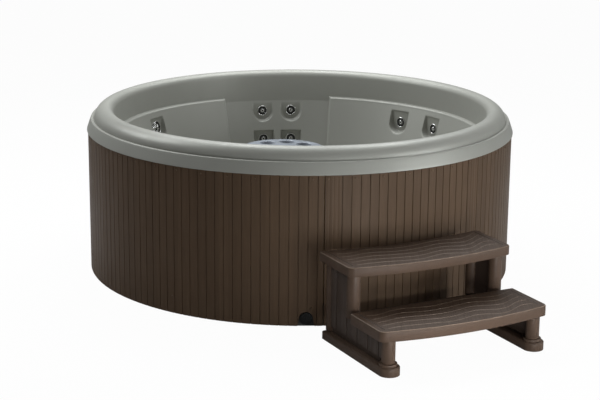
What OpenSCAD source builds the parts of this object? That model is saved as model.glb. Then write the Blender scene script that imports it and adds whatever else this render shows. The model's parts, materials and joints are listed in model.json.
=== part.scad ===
// Round hot tub with a slatted cabinet, and the two-tread entry step that stands at its door.
// Millimetres, +Z up. The origin lies on the floor under the middle of the tub.
// Angles named _deg run round the tub from the front (-Y) towards +X.

/* [Overall] */
// Radius over the slats of the round cabinet
tub_r = 962; // [920:1:1010]
// Height of the crown of the rim above the floor
rim_h = 740; // [720:1:780]

/* [Rim and lip] */
// How far the lip's lower edge stands out past the slats
lip_proud = 5; // [3:1:10]
// Depth from the crown down to the lip's lower edge
lip_drop = 103; // [98:1:112]
// Height of the flat band of the lip
lip_h = 52; // [44:1:56]
// How much the band leans in from its lower edge to its top
lip_lean = 18; // [10:1:20]
// Distance in from the lip's edge to the crown
crown_in = 89; // [86:1:94]
// Radius of the outer half of the rim's roll
roll_outer_r = 56; // [52:1:60]
// Radius of the inner half of the rim's roll
roll_inner_r = 32; // [24:1:36]
// Thickness of the moulded shell
shell_t = 8; // [6:0.5:10]

/* [Inner wall and seats] */
// How much the upper wall leans in below the roll
wall_lean = 6; // [2:1:12]
// Depth from the crown down to where the backrests start
crease_drop = 150; // [144:1:160]
// How far the backrest runs in from its top to the seat
recline = 88; // [70:1:100]
// Depth from the crown down to the seat
seat_drop = 440; // [410:1:460]
// Distance in from the cabinet's face to the footwell's wall
well_in = 517; // [495:1:530]
// Height of the footwell's bottom above the floor
well_h = 95; // [85:1:110]
// Rounding between the footwell's bottom and its side
well_round = 40; // [24:1:60]
// Rounding of the seat's front edge
nose_round = 36; // [24:1:50]
// Rounding between the seat and the backrest
back_round = 60; // [40:1:80]

/* [Raised backs] */
// Thickness of the two raised backs
pad_t = 25; // [16:1:32]
// Rounding of the raised backs' top edge
pad_nose = 11; // [6:1:14]
// How far the top of the raised backs stands above the crease
pad_rise = 22; // [18:1:26]
// Angles of the right raised back, from and to
right_back_deg = [97, 170];
// Angles of the left raised back, from and to
left_back_deg = [206.6, 279.6];

/* [Jet pockets] */
// Width of a jet pocket
pocket_w = 106; // [90:1:114]
// How far the upper pockets' floor lies in from the wall
high_pocket_in = 4; // [2:1:8]
// Depth of the pockets in the raised backs, in from the face of the back at the crease
side_pocket_out = 3; // [1:1:5]
// How far the lower pockets' floor lies in from the wall
low_pocket_in = 31; // [27:1:34]
// Height of the pockets' straight part above a jet
pocket_up = 44; // [38:1:48]
// Height of the lower pockets' top above a jet
low_pocket_up = 46; // [36:1:56]

/* [Jets] */
// Angles of the two columns of back jets
back_jet_deg = [183.3, 193.3];
// Angles of the jets in the right raised back
side_jet_deg = [142, 127];
// Angle of the large jet in the left raised back
large_jet_deg = 239;
// Depth from the crown down to the upper back jets
high_jet_drop = 200; // [194:1:206]
// Depth from the crown down to the lower back jets
low_jet_drop = 340; // [334:1:346]
// Depth from the crown down to the jets in the raised backs
side_jet_drop = 219; // [212:1:226]
// Radius of a jet's chrome ring
jet_ring_r = 26; // [24:1:30]
// Radius of a jet's turning nozzle
nozzle_r = 16; // [14:0.5:17]
// Radius of a jet's water opening
nozzle_bore_r = 4; // [3:0.5:6]
// Radius of the large jet's chrome ring
large_ring_r = 40; // [37:1:44]
// Radius of the large jet's turning face
large_face_r = 31; // [28:1:32]

/* [Cabinet] */
// Width of one slat
slat_w = 38.7; // [36:0.1:44]
// Thickness of a cabinet panel
panel_t = 12; // [10:0.5:14]
// Depth of the groove between slats
groove_d = 3; // [2:0.5:4]
// Width of the groove at the face
groove_w = 4; // [3:0.5:5]
// Seam between two panels
seam_w = 4; // [1:0.5:6]
// Gap between the panels and the floor
panel_gap = 3; // [2:0.5:6]
// Angle of the door's left seam
door_from_deg = 6.1; // [5:0.1:7]
// Slats in the access door, beside its wide first one
door_slats = 16; // [14:1:18]
// Radius of a panel screw's head
screw_head_r = 4; // [3:0.5:5]
// Radius of a panel screw's shank
screw_r = 2.2; // [1.8:0.1:2.5]
// Depth from the crown down to the upper row of screws
top_screw_drop = 118; // [112:1:124]
// Height of the lower row of screws
low_screw_z = 80; // [70:1:86]

/* [Frame and base] */
// Thickness of the base pan's bottom
pan_t = 5; // [4:0.5:8]
// Height of the base pan's wall
pan_h = 95; // [90:1:110]
// Radial depth of the frame's top ring
ring_w = 37; // [34:1:40]
// Height of the frame's top ring
ring_h = 46; // [40:1:52]
// Radial depth of a frame post
post_d = 40; // [34:1:42]
// Width of a frame post
post_w = 60; // [50:1:64]

/* [Filter column] */
// How far the column stands to the left of the tub's middle
column_left = 77; // [70:1:84]
// Radius of the filter lid
lid_r = 197; // [192:1:204]
// Depth from the crown down to the top of the lid
lid_drop = 203; // [196:1:212]
// Radius of one of the lid's round openings
lid_hole_r = 33.5; // [30:0.5:35]
// Radius of the ring of openings
lid_ring_r = 122; // [118:1:124]
// Angle that the ring of openings is turned by
lid_turn_deg = 8; // [0:1:44]
// Radius of the filter cartridge
cartridge_r = 90; // [80:1:94]
// Room between the top of the cartridge's folds and the lid
handle_room = 75; // [60:1:100]

/* [Pump and pipes] */
// Radius of the pump's motor
motor_r = 74; // [66:1:78]
// Length of the pump's motor
motor_l = 210; // [190:1:230]
// Radius of the pump's wet end
volute_r = 88; // [84:1:92]
// Radius of the large water pipes
pipe_r = 20; // [17:1:22]
// Radius of the heater tube
heater_r = 27; // [24:1:30]
// Length of the heater tube
heater_l = 360; // [340:1:370]
// Width of the control box
box_w = 320; // [280:1:330]
// Height of the control box
box_h = 150; // [120:1:160]

/* [Controls] */
// Width of the topside control
control_w = 150; // [140:1:170]
// Height of the topside control
control_h = 56; // [50:1:60]
// Radius of a control button
button_r = 9; // [7:0.5:10]
// Radius of the air knob
knob_r = 24; // [20:1:28]

/* [Drain] */
// Angle of the drain
drain_deg = 1.9; // [1.7:0.1:2.1]
// Height of the drain's middle
drain_z = 35; // [32:1:38]
// Radius of the drain cap
drain_cap_r = 25; // [22:1:26]
// Half width of the notch in the slats at the floor
notch_half_w = 36; // [33:1:37]

/* [Steps] */
// Turn of the steps round the tub
step_deg = 27.1; // [26:0.1:28]
// Gap from the slats to the line of the upper tread's back corners
step_gap = 28; // [24:1:60]
// Sideways place of the steps
step_side = -46; // [-60:1:-30]
// Width of the upper tread
tread_w = 743; // [700:1:780]
// Width of the lower tread
low_tread_w = 753; // [710:1:790]
// Depth of the upper tread at its ends
tread_d = 257; // [240:1:262]
// Depth from the upper tread's back to the lower tread's back
low_back_d = 272; // [268:1:280]
// Depth from the upper tread's back to the lower tread's front corners
low_front_d = 516; // [500:1:530]
// How far the treads' long edges bow towards the user
tread_bow = 42; // [20:1:50]
// Height of the upper tread's top
tread_z = 356; // [340:1:370]
// Height of the lower tread's top
low_tread_z = 180; // [170:1:190]
// Height of the upper tread's skirt
skirt_h = 38; // [34:1:42]
// Height of the lower tread's skirt
low_skirt_h = 42; // [38:1:46]
// Rounding of the treads' corners
corner_r = 30; // [20:1:36]
// Wall of the hollow treads
tread_wall = 5; // [4:0.5:7]
// Half the spacing of the two base rails
rail_half = 328; // [310:1:332]
// Half the width of a base rail
rail_half_w = 42; // [38:1:46]
// Height of a base rail
rail_h = 35; // [30:1:40]
// Radius of a step post
step_post_r = 27; // [24:1:29]

/* [Hidden] */
$fn = 96;

// Shared clearances
over = 1;
both_over = 2;
seat_gap = 0.3;
run_gap = 0.5;
turn = 360;
half_turn = 180;
quarter = 90;

// Rim
lip_r = tub_r + lip_proud;
lip_z = rim_h - lip_drop;
crown_r = lip_r - crown_in;
roll_z = rim_h - roll_inner_r;
outer_roll_z = rim_h - roll_outer_r;
seat_h = rim_h - seat_drop;
well_r = tub_r - well_in;
wall_r = crown_r - roll_inner_r;
crease_r = wall_r - wall_lean;
crease_z = rim_h - crease_drop;
pad_top_z = crease_z + pad_rise;
back_foot_r = crease_r - recline;
lean = atan(recline / (crease_z - seat_h));
pad_nose_z = pad_top_z - pad_nose;
pad_head_r = crease_r - pad_t + (pad_nose_z - crease_z) * tan(lean);
back_round_r = back_foot_r - back_round * (1 - sin(lean)) / cos(lean);
round_steps = 8;

// Cabinet
slat_n = round(turn * PI * tub_r / half_turn / slat_w);
pitch_deg = turn / slat_n;
wide_slats = 1.8;
wide_deg = wide_slats * pitch_deg;
door_to_deg = door_from_deg + wide_deg + door_slats * pitch_deg;
panel_n = 4;
panel_deg = (turn - door_to_deg + door_from_deg) / panel_n;
panel_in_r = tub_r - panel_t;
panel_top_z = lip_z - run_gap;
door_drop = 2;
door_top_z = lip_z - door_drop;
groove_floor_share = 0.5;
panel_steps = 40;
flute_d = 0.8;
flute_share = 0.16;
top_screw_z = rim_h - top_screw_drop;
screw_step = 3;
first_slats = 1.5;
edge_screw_share = 0.2;
screw_in = 10;
door_screw_in = 4;
low_screw_share = 1.3;
low_mid_share = 0.3;
screw_proud = 2.4;

// Frame
frame_r = panel_in_r - seat_gap;
pan_wall_t = 5;
post_gap = 1;
ring_z = lip_z - ring_h - seat_gap;
ring_in_r = frame_r - ring_w;
stem_w = 14;
post_out_r = frame_r - pan_wall_t - post_gap;
post_x = sqrt(pow(post_out_r, 2) - pow(post_w / 2, 2));
cradle_t = 30;
cradle_in_r = 235;
cradle_out_r = 395;
foam_t = 14;
foam_up = 5;
foam_gap_deg = 1;
foam_z = pan_h + foam_up;

// Jets: angle, height, distance of the pocket's floor from the axis, height of its straight part
high_jet_z = rim_h - high_jet_drop;
low_jet_z = rim_h - low_jet_drop;
side_jet_z = rim_h - side_jet_drop;
high_d = crease_r - high_pocket_in;
low_d = crease_r - low_pocket_in;
side_d = crease_r - pad_t + side_pocket_out;
pocket_top_in = 10;
side_up = crease_z - side_jet_z - pocket_top_in;
pocket_reach = 130;
small_jets = [[back_jet_deg[0], high_jet_z, high_d, pocket_up],
    [back_jet_deg[1], high_jet_z, high_d, pocket_up],
    [back_jet_deg[0], low_jet_z, low_d, low_pocket_up],
    [back_jet_deg[1], low_jet_z, low_d, low_pocket_up],
    [side_jet_deg[0], side_jet_z, side_d, side_up],
    [side_jet_deg[1], side_jet_z, side_d, side_up]];
large_jet = [large_jet_deg, side_jet_z, side_d, side_up];
all_jets = concat(small_jets, [large_jet]);
ring_t = 5;
barrel_wall = 3.5;
barrel_l = 26;
tail_r = 13;
flange_t = 4;
manifold_out = 40;
manifold_r = crease_r + manifold_out;
manifold_drop = 410;
manifold_z = rim_h - manifold_drop;
manifold_deg = [50, 250];
manifold_end_deg = 1;
manifold_turn_deg = 2;
manifold_joint_deg = 0.05;
air_out = 29;
air_r = crease_r + air_out;
air_up = 12;
air_z = crease_z + air_up;
air_tube_r = 8;
air_drop_r = 6;
air_deg = [22, 262];

// Filter column
column_r = 160;
column_wall = 6;
column_foot_r = 186;
column_foot_h = 9;
neck_r = 180;
neck_h = 60;
lid_top_z = rim_h - lid_drop;
lid_t = 16;
lid_dome = 7;
lid_under_z = lid_top_z - lid_t - lid_dome;
lid_lip_h = 22;
column_top_z = lid_under_z - seat_gap;
cone_z = column_top_z - neck_h;
socket_r = 26;
socket_h = 30;
core_gap = 0.2;
pleat_n = 60;
pleat_d = 14;
cap_h = 14;
cartridge_z = well_h + socket_h + column_foot_h;
cartridge_h = lid_under_z - cartridge_z - handle_room;

// Pump bay, laid out in the door's own frame: outward, sideways, up
bay_deg = (door_from_deg + door_to_deg) / 2;
pump_in = 322;
pump_x = tub_r - pump_in;
pump_z = 108;
volute_l = 62;
volute_wall = 5;
motor_wall = 5;
shaft_r = 8;
impeller_r = 60;
volute_y = -150;
motor_y = volute_y + volute_l;
suction_side = 60;
suction_turn = [pump_x, volute_y - suction_side];
under_z = (pan_t + well_h - shell_t) / 2;
heater_in = 112;
heater_x = tub_r - heater_in;
heater_z = 175;
heater_lip = 5;
heater_wall = 2;
stand_t = 10;
stand_d = 84;
box_d = 78;
box_up = 22;
box_z = heater_z + heater_r + box_up;
box_wall = 4;

// Controls, on the near inner wall where the photograph's view does not reach
control_deg = -16;
control_drop = 78;
control_z = rim_h - control_drop;
control_t = 12;
control_back = 34;
control_share = 0.72;
window_d = 1.2;
control_in_w = control_w * control_share - 2 * seat_gap;
control_in_h = control_h * control_share - 2 * seat_gap;
control_back_r = wall_at(control_z - control_h / 2);
control_x = sqrt(pow(control_back_r, 2) - pow(control_w / 2, 2)) - control_t - seat_gap;
button_travel = 1.2;
button_out = 2.4;
button_pitch = 30;
knob_deg = 22;
knob_z = control_z;
knob_t = 20;
valve_r = 15;
valve_l = 36;
light_deg = 300;
light_up = 55;
light_z = well_h + well_round + light_up;
light_r = 38;
light_t = 9;
light_x = sqrt(pow(well_r, 2) - pow(light_r, 2)) - seat_gap;
suction_deg = [12, 42];
suction_up = 40;
suction_z = well_h + well_round + suction_up;
suction_r = 48;
suction_t = 14;
suction_out = 50;
suction_x = sqrt(pow(well_r, 2) - pow(suction_r, 2)) - seat_gap;
join_share = [0.78, 0.5];
branch_share = 0.92;
gland_deg = 134;
gland_z = 50;
gland_r = 14;
gland_bore_r = 5;
gland_l = 46;

// Pipes
joint_share = 1.15;

// Drain
hose_r = 9;
valve_body_r = 17;
valve_in = 60;
floor_drain_deg = -20;
floor_drain_r = cradle_out_r - 2 * cradle_t;
notch_gap = 4;
thread_gap = 0.08;
knurl_r = 1.2;
cap_t = 17;

// Steps
rail_back_d = 35;
rail_front_d = 495;
post_rear_d = 44;
post_back_d = 212;
post_front_d = 488;
side_t = 20;
side_proud = 19;
side_face = rail_half + side_proud;
side_lift = 23;
side_z = rail_h + side_lift;
side_slat_w = 84.5;
side_first_d = 110;
side_groove_n = 5;
web_t = 9;
block_t = 26;
collar_w = 8;
collar_r = step_post_r + collar_w;
collar_h = 9;
edge_in = 3;
edge_h = 4;
end_line_in = 27;
end_line_w = 4;
end_line_d = 2;
grain_n = 5;
grain_h = 1.2;
grain_w = 5;
grain_amp_share = 0.224;
grain_steps = 32;
grain_turn = 23;
socket_gap = 2;
stretcher_h = 45;
stretcher_t = 14;
stretcher_d = post_rear_d + step_post_r + run_gap;
shoulder_z = low_tread_z - low_skirt_h - seat_gap;

// Radius of the upper wall, and of the backrest's outside, at a height
function wall_at(z) = crease_r + wall_lean * (z - crease_z) / (roll_z - crease_z);
function back_at(z) = crease_r + shell_t - (crease_z - z) * tan(lean);

function arc(cx, cy, r, from, to, n) =
    [for (i = [0:n]) let (a = from + (to - from) * i / n) [cx + r * cos(a), cy + r * sin(a)]];

module turned(t) {
    rotate([0, 0, t - quarter]) children();
}

module swept(from, to) {
    rotate([0, 0, from - quarter]) rotate_extrude(angle = to - from) children();
}

// A revolve or cylinder drawn up +Z, laid along the local +X
module along_x() {
    rotate([0, quarter, 0]) children();
}

// A flat outline in sideways and up, pushed out along the local +X
module push_x(depth) {
    rotate([quarter, 0, quarter]) linear_extrude(depth) children();
}

// A round bar between two points
module bar(a, b, r) {
    v = b - a;
    len_v = norm(v);
    translate(a) rotate([0, acos(v[2] / len_v), atan2(v[1], v[0])]) cylinder(h = len_v, r = r);
}

// A pipe through a list of points, with a swollen glued joint at each bend
module run(points, r) {
    for (i = [0:len(points) - 2]) bar(points[i], points[i + 1], r);
    if (len(points) > 2) for (i = [1:len(points) - 2]) translate(points[i]) sphere(r = r * joint_share);
}

// Shell

// The seat, footwell and backrest line, moved outwards by e, and the backrest moved inwards by inset
function basin(e, inset = 0) = concat([[0, well_h - e]],
    arc(well_r - well_round, well_h + well_round, well_round + e, -quarter, 0, round_steps),
    arc(well_r + nose_round, seat_h - nose_round, nose_round - e, half_turn, quarter, round_steps),
    back_line(e, inset));

function back_line(e, inset) = concat(
    arc(back_round_r - inset, seat_h + back_round, back_round + e, -quarter, -lean, round_steps),
    [[crease_r - inset + e, crease_z]]);

module roll_section(e) {
    intersection() {
        translate([crown_r, outer_roll_z]) circle(r = roll_outer_r - e);
        translate([crown_r, lip_z + lip_h - e]) square(roll_outer_r * 2);
    }
    translate([crown_r, roll_z]) circle(r = roll_inner_r - e);
    low = lip_z - (e > 0 ? over : 0);
    translate([wall_r + e, low]) square([roll_inner_r - e, roll_z - low]);
    polygon([[crown_r - over, low], [lip_r - e, low], [lip_r - lip_lean - e, lip_z + lip_h - e],
        [crown_r - over, lip_z + lip_h - e]]);
}

module water_section() {
    difference() {
        polygon(concat(basin(0), [[wall_r, roll_z], [crown_r, roll_z], [crown_r, rim_h + over],
            [0, rim_h + over]]));
        translate([crown_r, roll_z]) circle(r = roll_inner_r);
    }
}

module dry_section() {
    polygon(concat(basin(shell_t), [[wall_r + shell_t, roll_z], [0, roll_z]]));
}

module shell_section() {
    difference() {
        union() {
            dry_section();
            roll_section(0);
        }
        water_section();
        difference() {
            roll_section(shell_t);
            dry_section();
        }
    }
}

module pad_section() {
    back = concat(back_line(shell_t / 2, 0), [[wall_at(pad_top_z) + shell_t / 2, pad_top_z]]);
    polygon(concat(arc(back_round_r - pad_t, seat_h + back_round, back_round, -quarter, -lean, round_steps),
        arc(pad_head_r + pad_nose, pad_nose_z, pad_nose, half_turn, quarter, round_steps),
        [for (i = [len(back) - 1:-1:0]) back[i]]));
}

module pocket_outline(w, up) {
    circle(d = w);
    translate([-w / 2, 0]) square([w, up]);
}

module pocket(j, e) {
    turned(j[0]) translate([j[2] - pocket_reach, 0, j[1]])
        push_x(pocket_reach + e) pocket_outline(pocket_w + 2 * e, j[3] + e);
}

module shell() {
    color([0.42, 0.42, 0.4]) difference() {
        union() {
            difference() {
                union() {
                    rotate_extrude() shell_section();
                    for (j = all_jets) pocket(j, shell_t);
                }
                rotate_extrude() water_section();
            }
            swept(right_back_deg[0], right_back_deg[1]) pad_section();
            swept(left_back_deg[0], left_back_deg[1]) pad_section();
        }
        for (j = all_jets) pocket(j, 0);
        for (j = small_jets) jet_hole(j, nozzle_r + run_gap + barrel_wall + seat_gap);
        jet_hole(large_jet, large_face_r + run_gap + barrel_wall + seat_gap);
        turned(control_deg) translate([wall_r, 0, control_z])
            cube([control_back, control_w * control_share, control_h * control_share], center = true);
        turned(knob_deg) translate([wall_r, 0, knob_z]) along_x()
            cylinder(h = valve_l, r = valve_r + seat_gap, center = true);
        for (t = suction_deg) turned(t) translate([well_r, 0, suction_z])
            along_x() cylinder(h = suction_t * 4, r = pipe_r + seat_gap, center = true);
        turned(light_deg) translate([well_r, 0, light_z])
            along_x() cylinder(h = light_t * 4, r = light_r / 2, center = true);
        translate([-column_left, 0, well_h])
            cylinder(h = shell_t * 4, r = pipe_r + seat_gap, center = true);
        turned(floor_drain_deg) translate([floor_drain_r, 0, well_h])
            cylinder(h = shell_t * 4, r = hose_r + seat_gap, center = true);
    }
}

module jet_hole(j, r) {
    turned(j[0]) translate([j[2], 0, j[1]]) along_x() cylinder(h = barrel_l * 2, r = r, center = true);
}

// Frame and base

module base_pan() {
    color([0.06, 0.06, 0.06]) difference() {
        rotate_extrude() polygon([[0, 0], [frame_r, 0], [frame_r, pan_h], [frame_r - pan_wall_t, pan_h],
            [frame_r - pan_wall_t, pan_t], [0, pan_t]]);
        turned(drain_deg) translate([frame_r, 0, drain_z]) along_x()
            cylinder(h = pan_wall_t * 4, r = valve_body_r + seat_gap, center = true);
        turned(gland_deg) translate([frame_r, 0, gland_z]) along_x()
            cylinder(h = pan_wall_t * 4, r = gland_r - barrel_wall + seat_gap, center = true);
        screw_holes(low_screw_z, low_screw_degs(), screw_r + seat_gap);
    }
}

module well_cradle() {
    color([0.55, 0.44, 0.3]) difference() {
        for (r = [cradle_in_r, cradle_out_r]) translate([0, 0, pan_t]) difference() {
            cylinder(h = well_h - shell_t - pan_t, r = r);
            translate([0, 0, -over]) cylinder(h = well_h, r = r - cradle_t);
        }
        suction_route(pipe_r + run_gap);
        drain_route(hose_r + run_gap);
    }
}

module top_ring() {
    color([0.55, 0.44, 0.3]) difference() {
        union() {
            rotate_extrude() translate([ring_in_r, ring_z]) square([ring_w, ring_h]);
            rotate_extrude() intersection() {
                translate([ring_in_r, ring_z]) square([stem_w, rim_h]);
                union() {
                    translate([crown_r, outer_roll_z]) circle(r = roll_outer_r - shell_t - seat_gap);
                    translate([crown_r, ring_z])
                        square([roll_outer_r - shell_t - seat_gap, outer_roll_z - ring_z]);
                }
            }
        }
        screw_holes(top_screw_z, top_screw_degs(), screw_r + seat_gap);
        screw_holes(top_screw_z, door_screw_degs(), screw_head_r);
    }
}

function post_degs() = concat([door_from_deg], [for (i = [0:panel_n]) door_to_deg + i * panel_deg],
    [for (i = [0:panel_n - 1]) door_to_deg + (i + 0.5) * panel_deg]);

module frame_posts() {
    degs = [for (i = [0:len(post_degs()) - 1]) if (i != panel_n + 1) post_degs()[i]];
    color([0.55, 0.44, 0.3]) for (t = degs)
        turned(t) translate([post_x - post_d, -post_w / 2, pan_t])
            cube([post_d, post_w, ring_z - pan_t]);
}

module insulation() {
    foam_r = frame_r - seat_gap;
    half_post = asin(post_w / 2 / post_out_r) + foam_gap_deg;
    color([0.75, 0.75, 0.78]) for (i = [0:2 * panel_n - 1]) {
        from = door_to_deg + i * panel_deg / 2 + half_post;
        swept(from, from + panel_deg / 2 - 2 * half_post)
            translate([foam_r - foam_t, foam_z]) square([foam_t, ring_z - foam_z - seat_gap]);
    }
}

// Cabinet

// Rounds a groove's share of the face into an angle
function face_deg(w) = w / tub_r * half_turn / PI;

function groove_degs(from, to) = [for (a = [from + wide_deg:pitch_deg:to - pitch_deg / 2]) a];

function panel_outline(from, to) = concat(
    [polar(tub_r, from)],
    [for (k = [1:3], p = flute(from + wide_deg * k / 4)) p],
    [for (g = groove_degs(from, to), p = groove(g)) p],
    [polar(tub_r, to)],
    [for (i = [0:panel_steps]) polar(panel_in_r, to + (from - to) * i / panel_steps)]);

function polar(r, t) = [r * sin(t), -r * cos(t)];

function groove(t) = [polar(tub_r, t - face_deg(groove_w) / 2),
    polar(tub_r - groove_d, t - face_deg(groove_w * groove_floor_share) / 2),
    polar(tub_r - groove_d, t + face_deg(groove_w * groove_floor_share) / 2),
    polar(tub_r, t + face_deg(groove_w) / 2)];

function flute(t) = [polar(tub_r, t - wide_deg * flute_share / 2), polar(tub_r - flute_d, t),
    polar(tub_r, t + wide_deg * flute_share / 2)];

// The middle of every third slat, counted on from a screw near the panel's left edge
function screw_degs(from, to) = concat([from + wide_deg * edge_screw_share],
    [for (a = [from + wide_deg + first_slats * pitch_deg:screw_step * pitch_deg:to - pitch_deg / 2]) a]);

function top_screw_degs() = [for (i = [0:panel_n - 1], a = screw_degs(door_to_deg + i * panel_deg,
    door_to_deg + (i + 1) * panel_deg)) a];

function door_screw_degs() = screw_degs(door_from_deg, door_to_deg);

function low_screw_degs() = [for (i = [0:panel_n - 1], a = [pitch_deg * low_screw_share,
    panel_deg / 2 + pitch_deg * low_mid_share, panel_deg - pitch_deg * low_screw_share])
    door_to_deg + i * panel_deg + a];

module screw_holes(z, degs, r) {
    for (t = degs) turned(t) translate([tub_r - panel_t - screw_in, 0, z])
        along_x() cylinder(h = panel_t + screw_in + over, r = r);
}

module cabinet_panel(i) {
    from = door_to_deg + i * panel_deg;
    gap_deg = face_deg(seam_w) / 2;
    color([0.24, 0.19, 0.15]) difference() {
        translate([0, 0, panel_gap]) linear_extrude(panel_top_z - panel_gap)
            polygon(panel_outline(from + gap_deg, from + panel_deg - gap_deg));
        screw_holes(top_screw_z, screw_degs(from, from + panel_deg), screw_r + seat_gap);
        screw_holes(low_screw_z, low_screw_degs(), screw_r + seat_gap);
        if (i == panel_n - 1) drain_notch();
        if (i == 1) turned(gland_deg) translate([tub_r, 0, gland_z]) along_x()
            cylinder(h = panel_t * 4, r = gland_r - barrel_wall + seat_gap, center = true);
    }
}

module drain_notch() {
    turned(drain_deg) translate([tub_r - panel_t * 2, 0, 0]) push_x(panel_t * 3) {
        translate([0, drain_z]) circle(r = drain_cap_r + notch_gap);
        polygon([[-notch_half_w, -over], [notch_half_w, -over], [drain_cap_r + notch_gap, drain_z],
            [-drain_cap_r - notch_gap, drain_z]]);
    }
}

module panel_front() cabinet_panel(3);
module panel_right() cabinet_panel(0);
module panel_back_right() cabinet_panel(1);
module panel_back_left() cabinet_panel(2);

module access_door() {
    gap_deg = face_deg(seam_w) / 2;
    color([0.25, 0.2, 0.16]) difference() {
        translate([0, 0, panel_gap]) linear_extrude(door_top_z - panel_gap)
            polygon(panel_outline(door_from_deg + gap_deg, door_to_deg - gap_deg));
        screw_holes(top_screw_z, door_screw_degs(), screw_r + seat_gap);
    }
}

module screws(z, degs, into) {
    for (t = degs) turned(t) translate([tub_r - panel_t - into, 0, z]) along_x() {
        cylinder(h = panel_t + into, r = screw_r);
        translate([0, 0, panel_t + into])
            cylinder(h = screw_proud, r1 = screw_head_r, r2 = screw_head_r - screw_proud / 2);
    }
}

module panel_screws() {
    color([0.35, 0.3, 0.25]) {
        screws(top_screw_z, top_screw_degs(), screw_in - run_gap);
        screws(low_screw_z, low_screw_degs(), pan_wall_t);
    }
}

module door_screws() {
    color([0.35, 0.3, 0.25]) screws(top_screw_z, door_screw_degs(), door_screw_in);
}

// Jets

module at_jet(j) {
    turned(j[0]) translate([j[2], 0, j[1]]) children();
}

module jet_ring(j, r, hole_r) {
    at_jet(j) along_x() rotate_extrude() polygon([[hole_r, 0], [r, 0], [r, -ring_t * 0.35],
        [r - ring_t / 2, -ring_t], [hole_r + ring_t / 4, -ring_t], [hole_r, -ring_t * 0.6]]);
}

module jet_rings() {
    color([0.75, 0.75, 0.75]) for (j = small_jets)
        jet_ring(j, jet_ring_r, nozzle_r + run_gap + barrel_wall + seat_gap);
}

module large_jet_ring() {
    color([0.75, 0.75, 0.75])
        jet_ring(large_jet, large_ring_r, large_face_r + run_gap + barrel_wall + seat_gap);
}

module jet_body(j, r) {
    in_r = r + run_gap;
    out_r = in_r + barrel_wall;
    at_jet(j) along_x() {
        difference() {
            union() {
                translate([0, 0, -ring_t / 2]) cylinder(h = barrel_l + ring_t / 2, r = out_r);
                translate([0, 0, max(shell_t, back_at(j[1] + out_r + barrel_wall) - j[2]) + seat_gap])
                    cylinder(h = flange_t, r = out_r + barrel_wall);
            }
            translate([0, 0, -ring_t]) cylinder(h = barrel_l + ring_t - barrel_wall, r = in_r);
        }
        translate([0, 0, barrel_l - over])
            cylinder(h = manifold_r - j[2] - barrel_l - tail_r + over, r = tail_r);
    }
}

module jet_bodies() {
    color([0.2, 0.2, 0.2]) {
        for (j = small_jets) jet_body(j, nozzle_r);
        jet_body(large_jet, large_face_r);
    }
}

// A nozzle's face: a shallow cone with a raised eye and three finger notches
module nozzle(j, r, bore_r, notches) {
    color([0.55, 0.55, 0.55]) at_jet(j) along_x() difference() {
        rotate_extrude() polygon([[bore_r, barrel_l / 3], [bore_r, -ring_t], [bore_r * 2, -ring_t],
            [bore_r * 2.6, -ring_t / 2], [r * 0.84, -ring_t / 2], [r, 0], [r, barrel_l / 3]]);
        for (k = [1:notches]) rotate([0, 0, k * turn / notches]) translate([r, 0, -ring_t])
            cylinder(h = ring_t * 2, r = r / 7);
    }
}

module high_nozzle_right() nozzle(small_jets[0], nozzle_r, nozzle_bore_r, 3);
module high_nozzle_left() nozzle(small_jets[1], nozzle_r, nozzle_bore_r, 3);
module low_nozzle_right() nozzle(small_jets[2], nozzle_r, nozzle_bore_r, 3);
module low_nozzle_left() nozzle(small_jets[3], nozzle_r, nozzle_bore_r, 3);
module side_nozzle_near() nozzle(small_jets[5], nozzle_r, nozzle_bore_r, 3);
module side_nozzle_far() nozzle(small_jets[4], nozzle_r, nozzle_bore_r, 3);

// The large jet's face: a scalloped chrome wheel round a wide eye
module large_jet_face() {
    lobe_n = 6;
    color([0.7, 0.7, 0.7]) at_jet(large_jet) along_x() difference() {
        rotate_extrude() polygon([[large_face_r / 4, barrel_l / 3], [large_face_r / 4, -ring_t * 1.4],
            [large_face_r / 2.6, -ring_t * 1.6], [large_face_r * 0.8, -ring_t], [large_face_r, 0],
            [large_face_r, barrel_l / 3]]);
        for (k = [1:lobe_n]) rotate([0, 0, k * turn / lobe_n])
            translate([large_face_r * 0.66, 0, -ring_t * 3]) cylinder(h = ring_t * 3.4, r = large_face_r / 6);
    }
}

module hollow_ring(r, z, tube_r, degs) {
    difference() {
        swept(degs[0], degs[1]) translate([r, z]) circle(r = tube_r);
        swept(degs[0] + manifold_end_deg, degs[1] - manifold_end_deg) translate([r, z])
            circle(r = tube_r - barrel_wall);
    }
}

module water_manifold() {
    color([0.8, 0.8, 0.78]) hollow_ring(manifold_r, manifold_z, pipe_r, manifold_deg);
}

module jet_risers() {
    fed = [small_jets[0], small_jets[1], small_jets[4], small_jets[5], large_jet];
    color([0.8, 0.8, 0.78]) for (j = fed)
        turned(j[0]) translate([manifold_r, 0, manifold_z + pipe_r + seat_gap / 3])
            cylinder(h = j[1] - manifold_z - pipe_r + tail_r, r = tail_r - seat_gap);
}

module air_line() {
    color([0.7, 0.72, 0.75]) {
        swept(air_deg[0], air_deg[1]) translate([air_r, air_z]) circle(r = air_tube_r);
        for (j = [small_jets[0], small_jets[1], small_jets[4], small_jets[5], large_jet])
            turned(j[0]) translate([air_r, 0, j[1] + tail_r + seat_gap])
                cylinder(h = air_z - j[1] - tail_r, r = air_drop_r);
        turned(knob_deg) translate([air_r, 0, air_z])
            cylinder(h = knob_z - air_z - valve_r - seat_gap, r = air_drop_r);
    }
}

// Filter column

module column_at() {
    translate([-column_left, 0, 0]) children();
}

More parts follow.
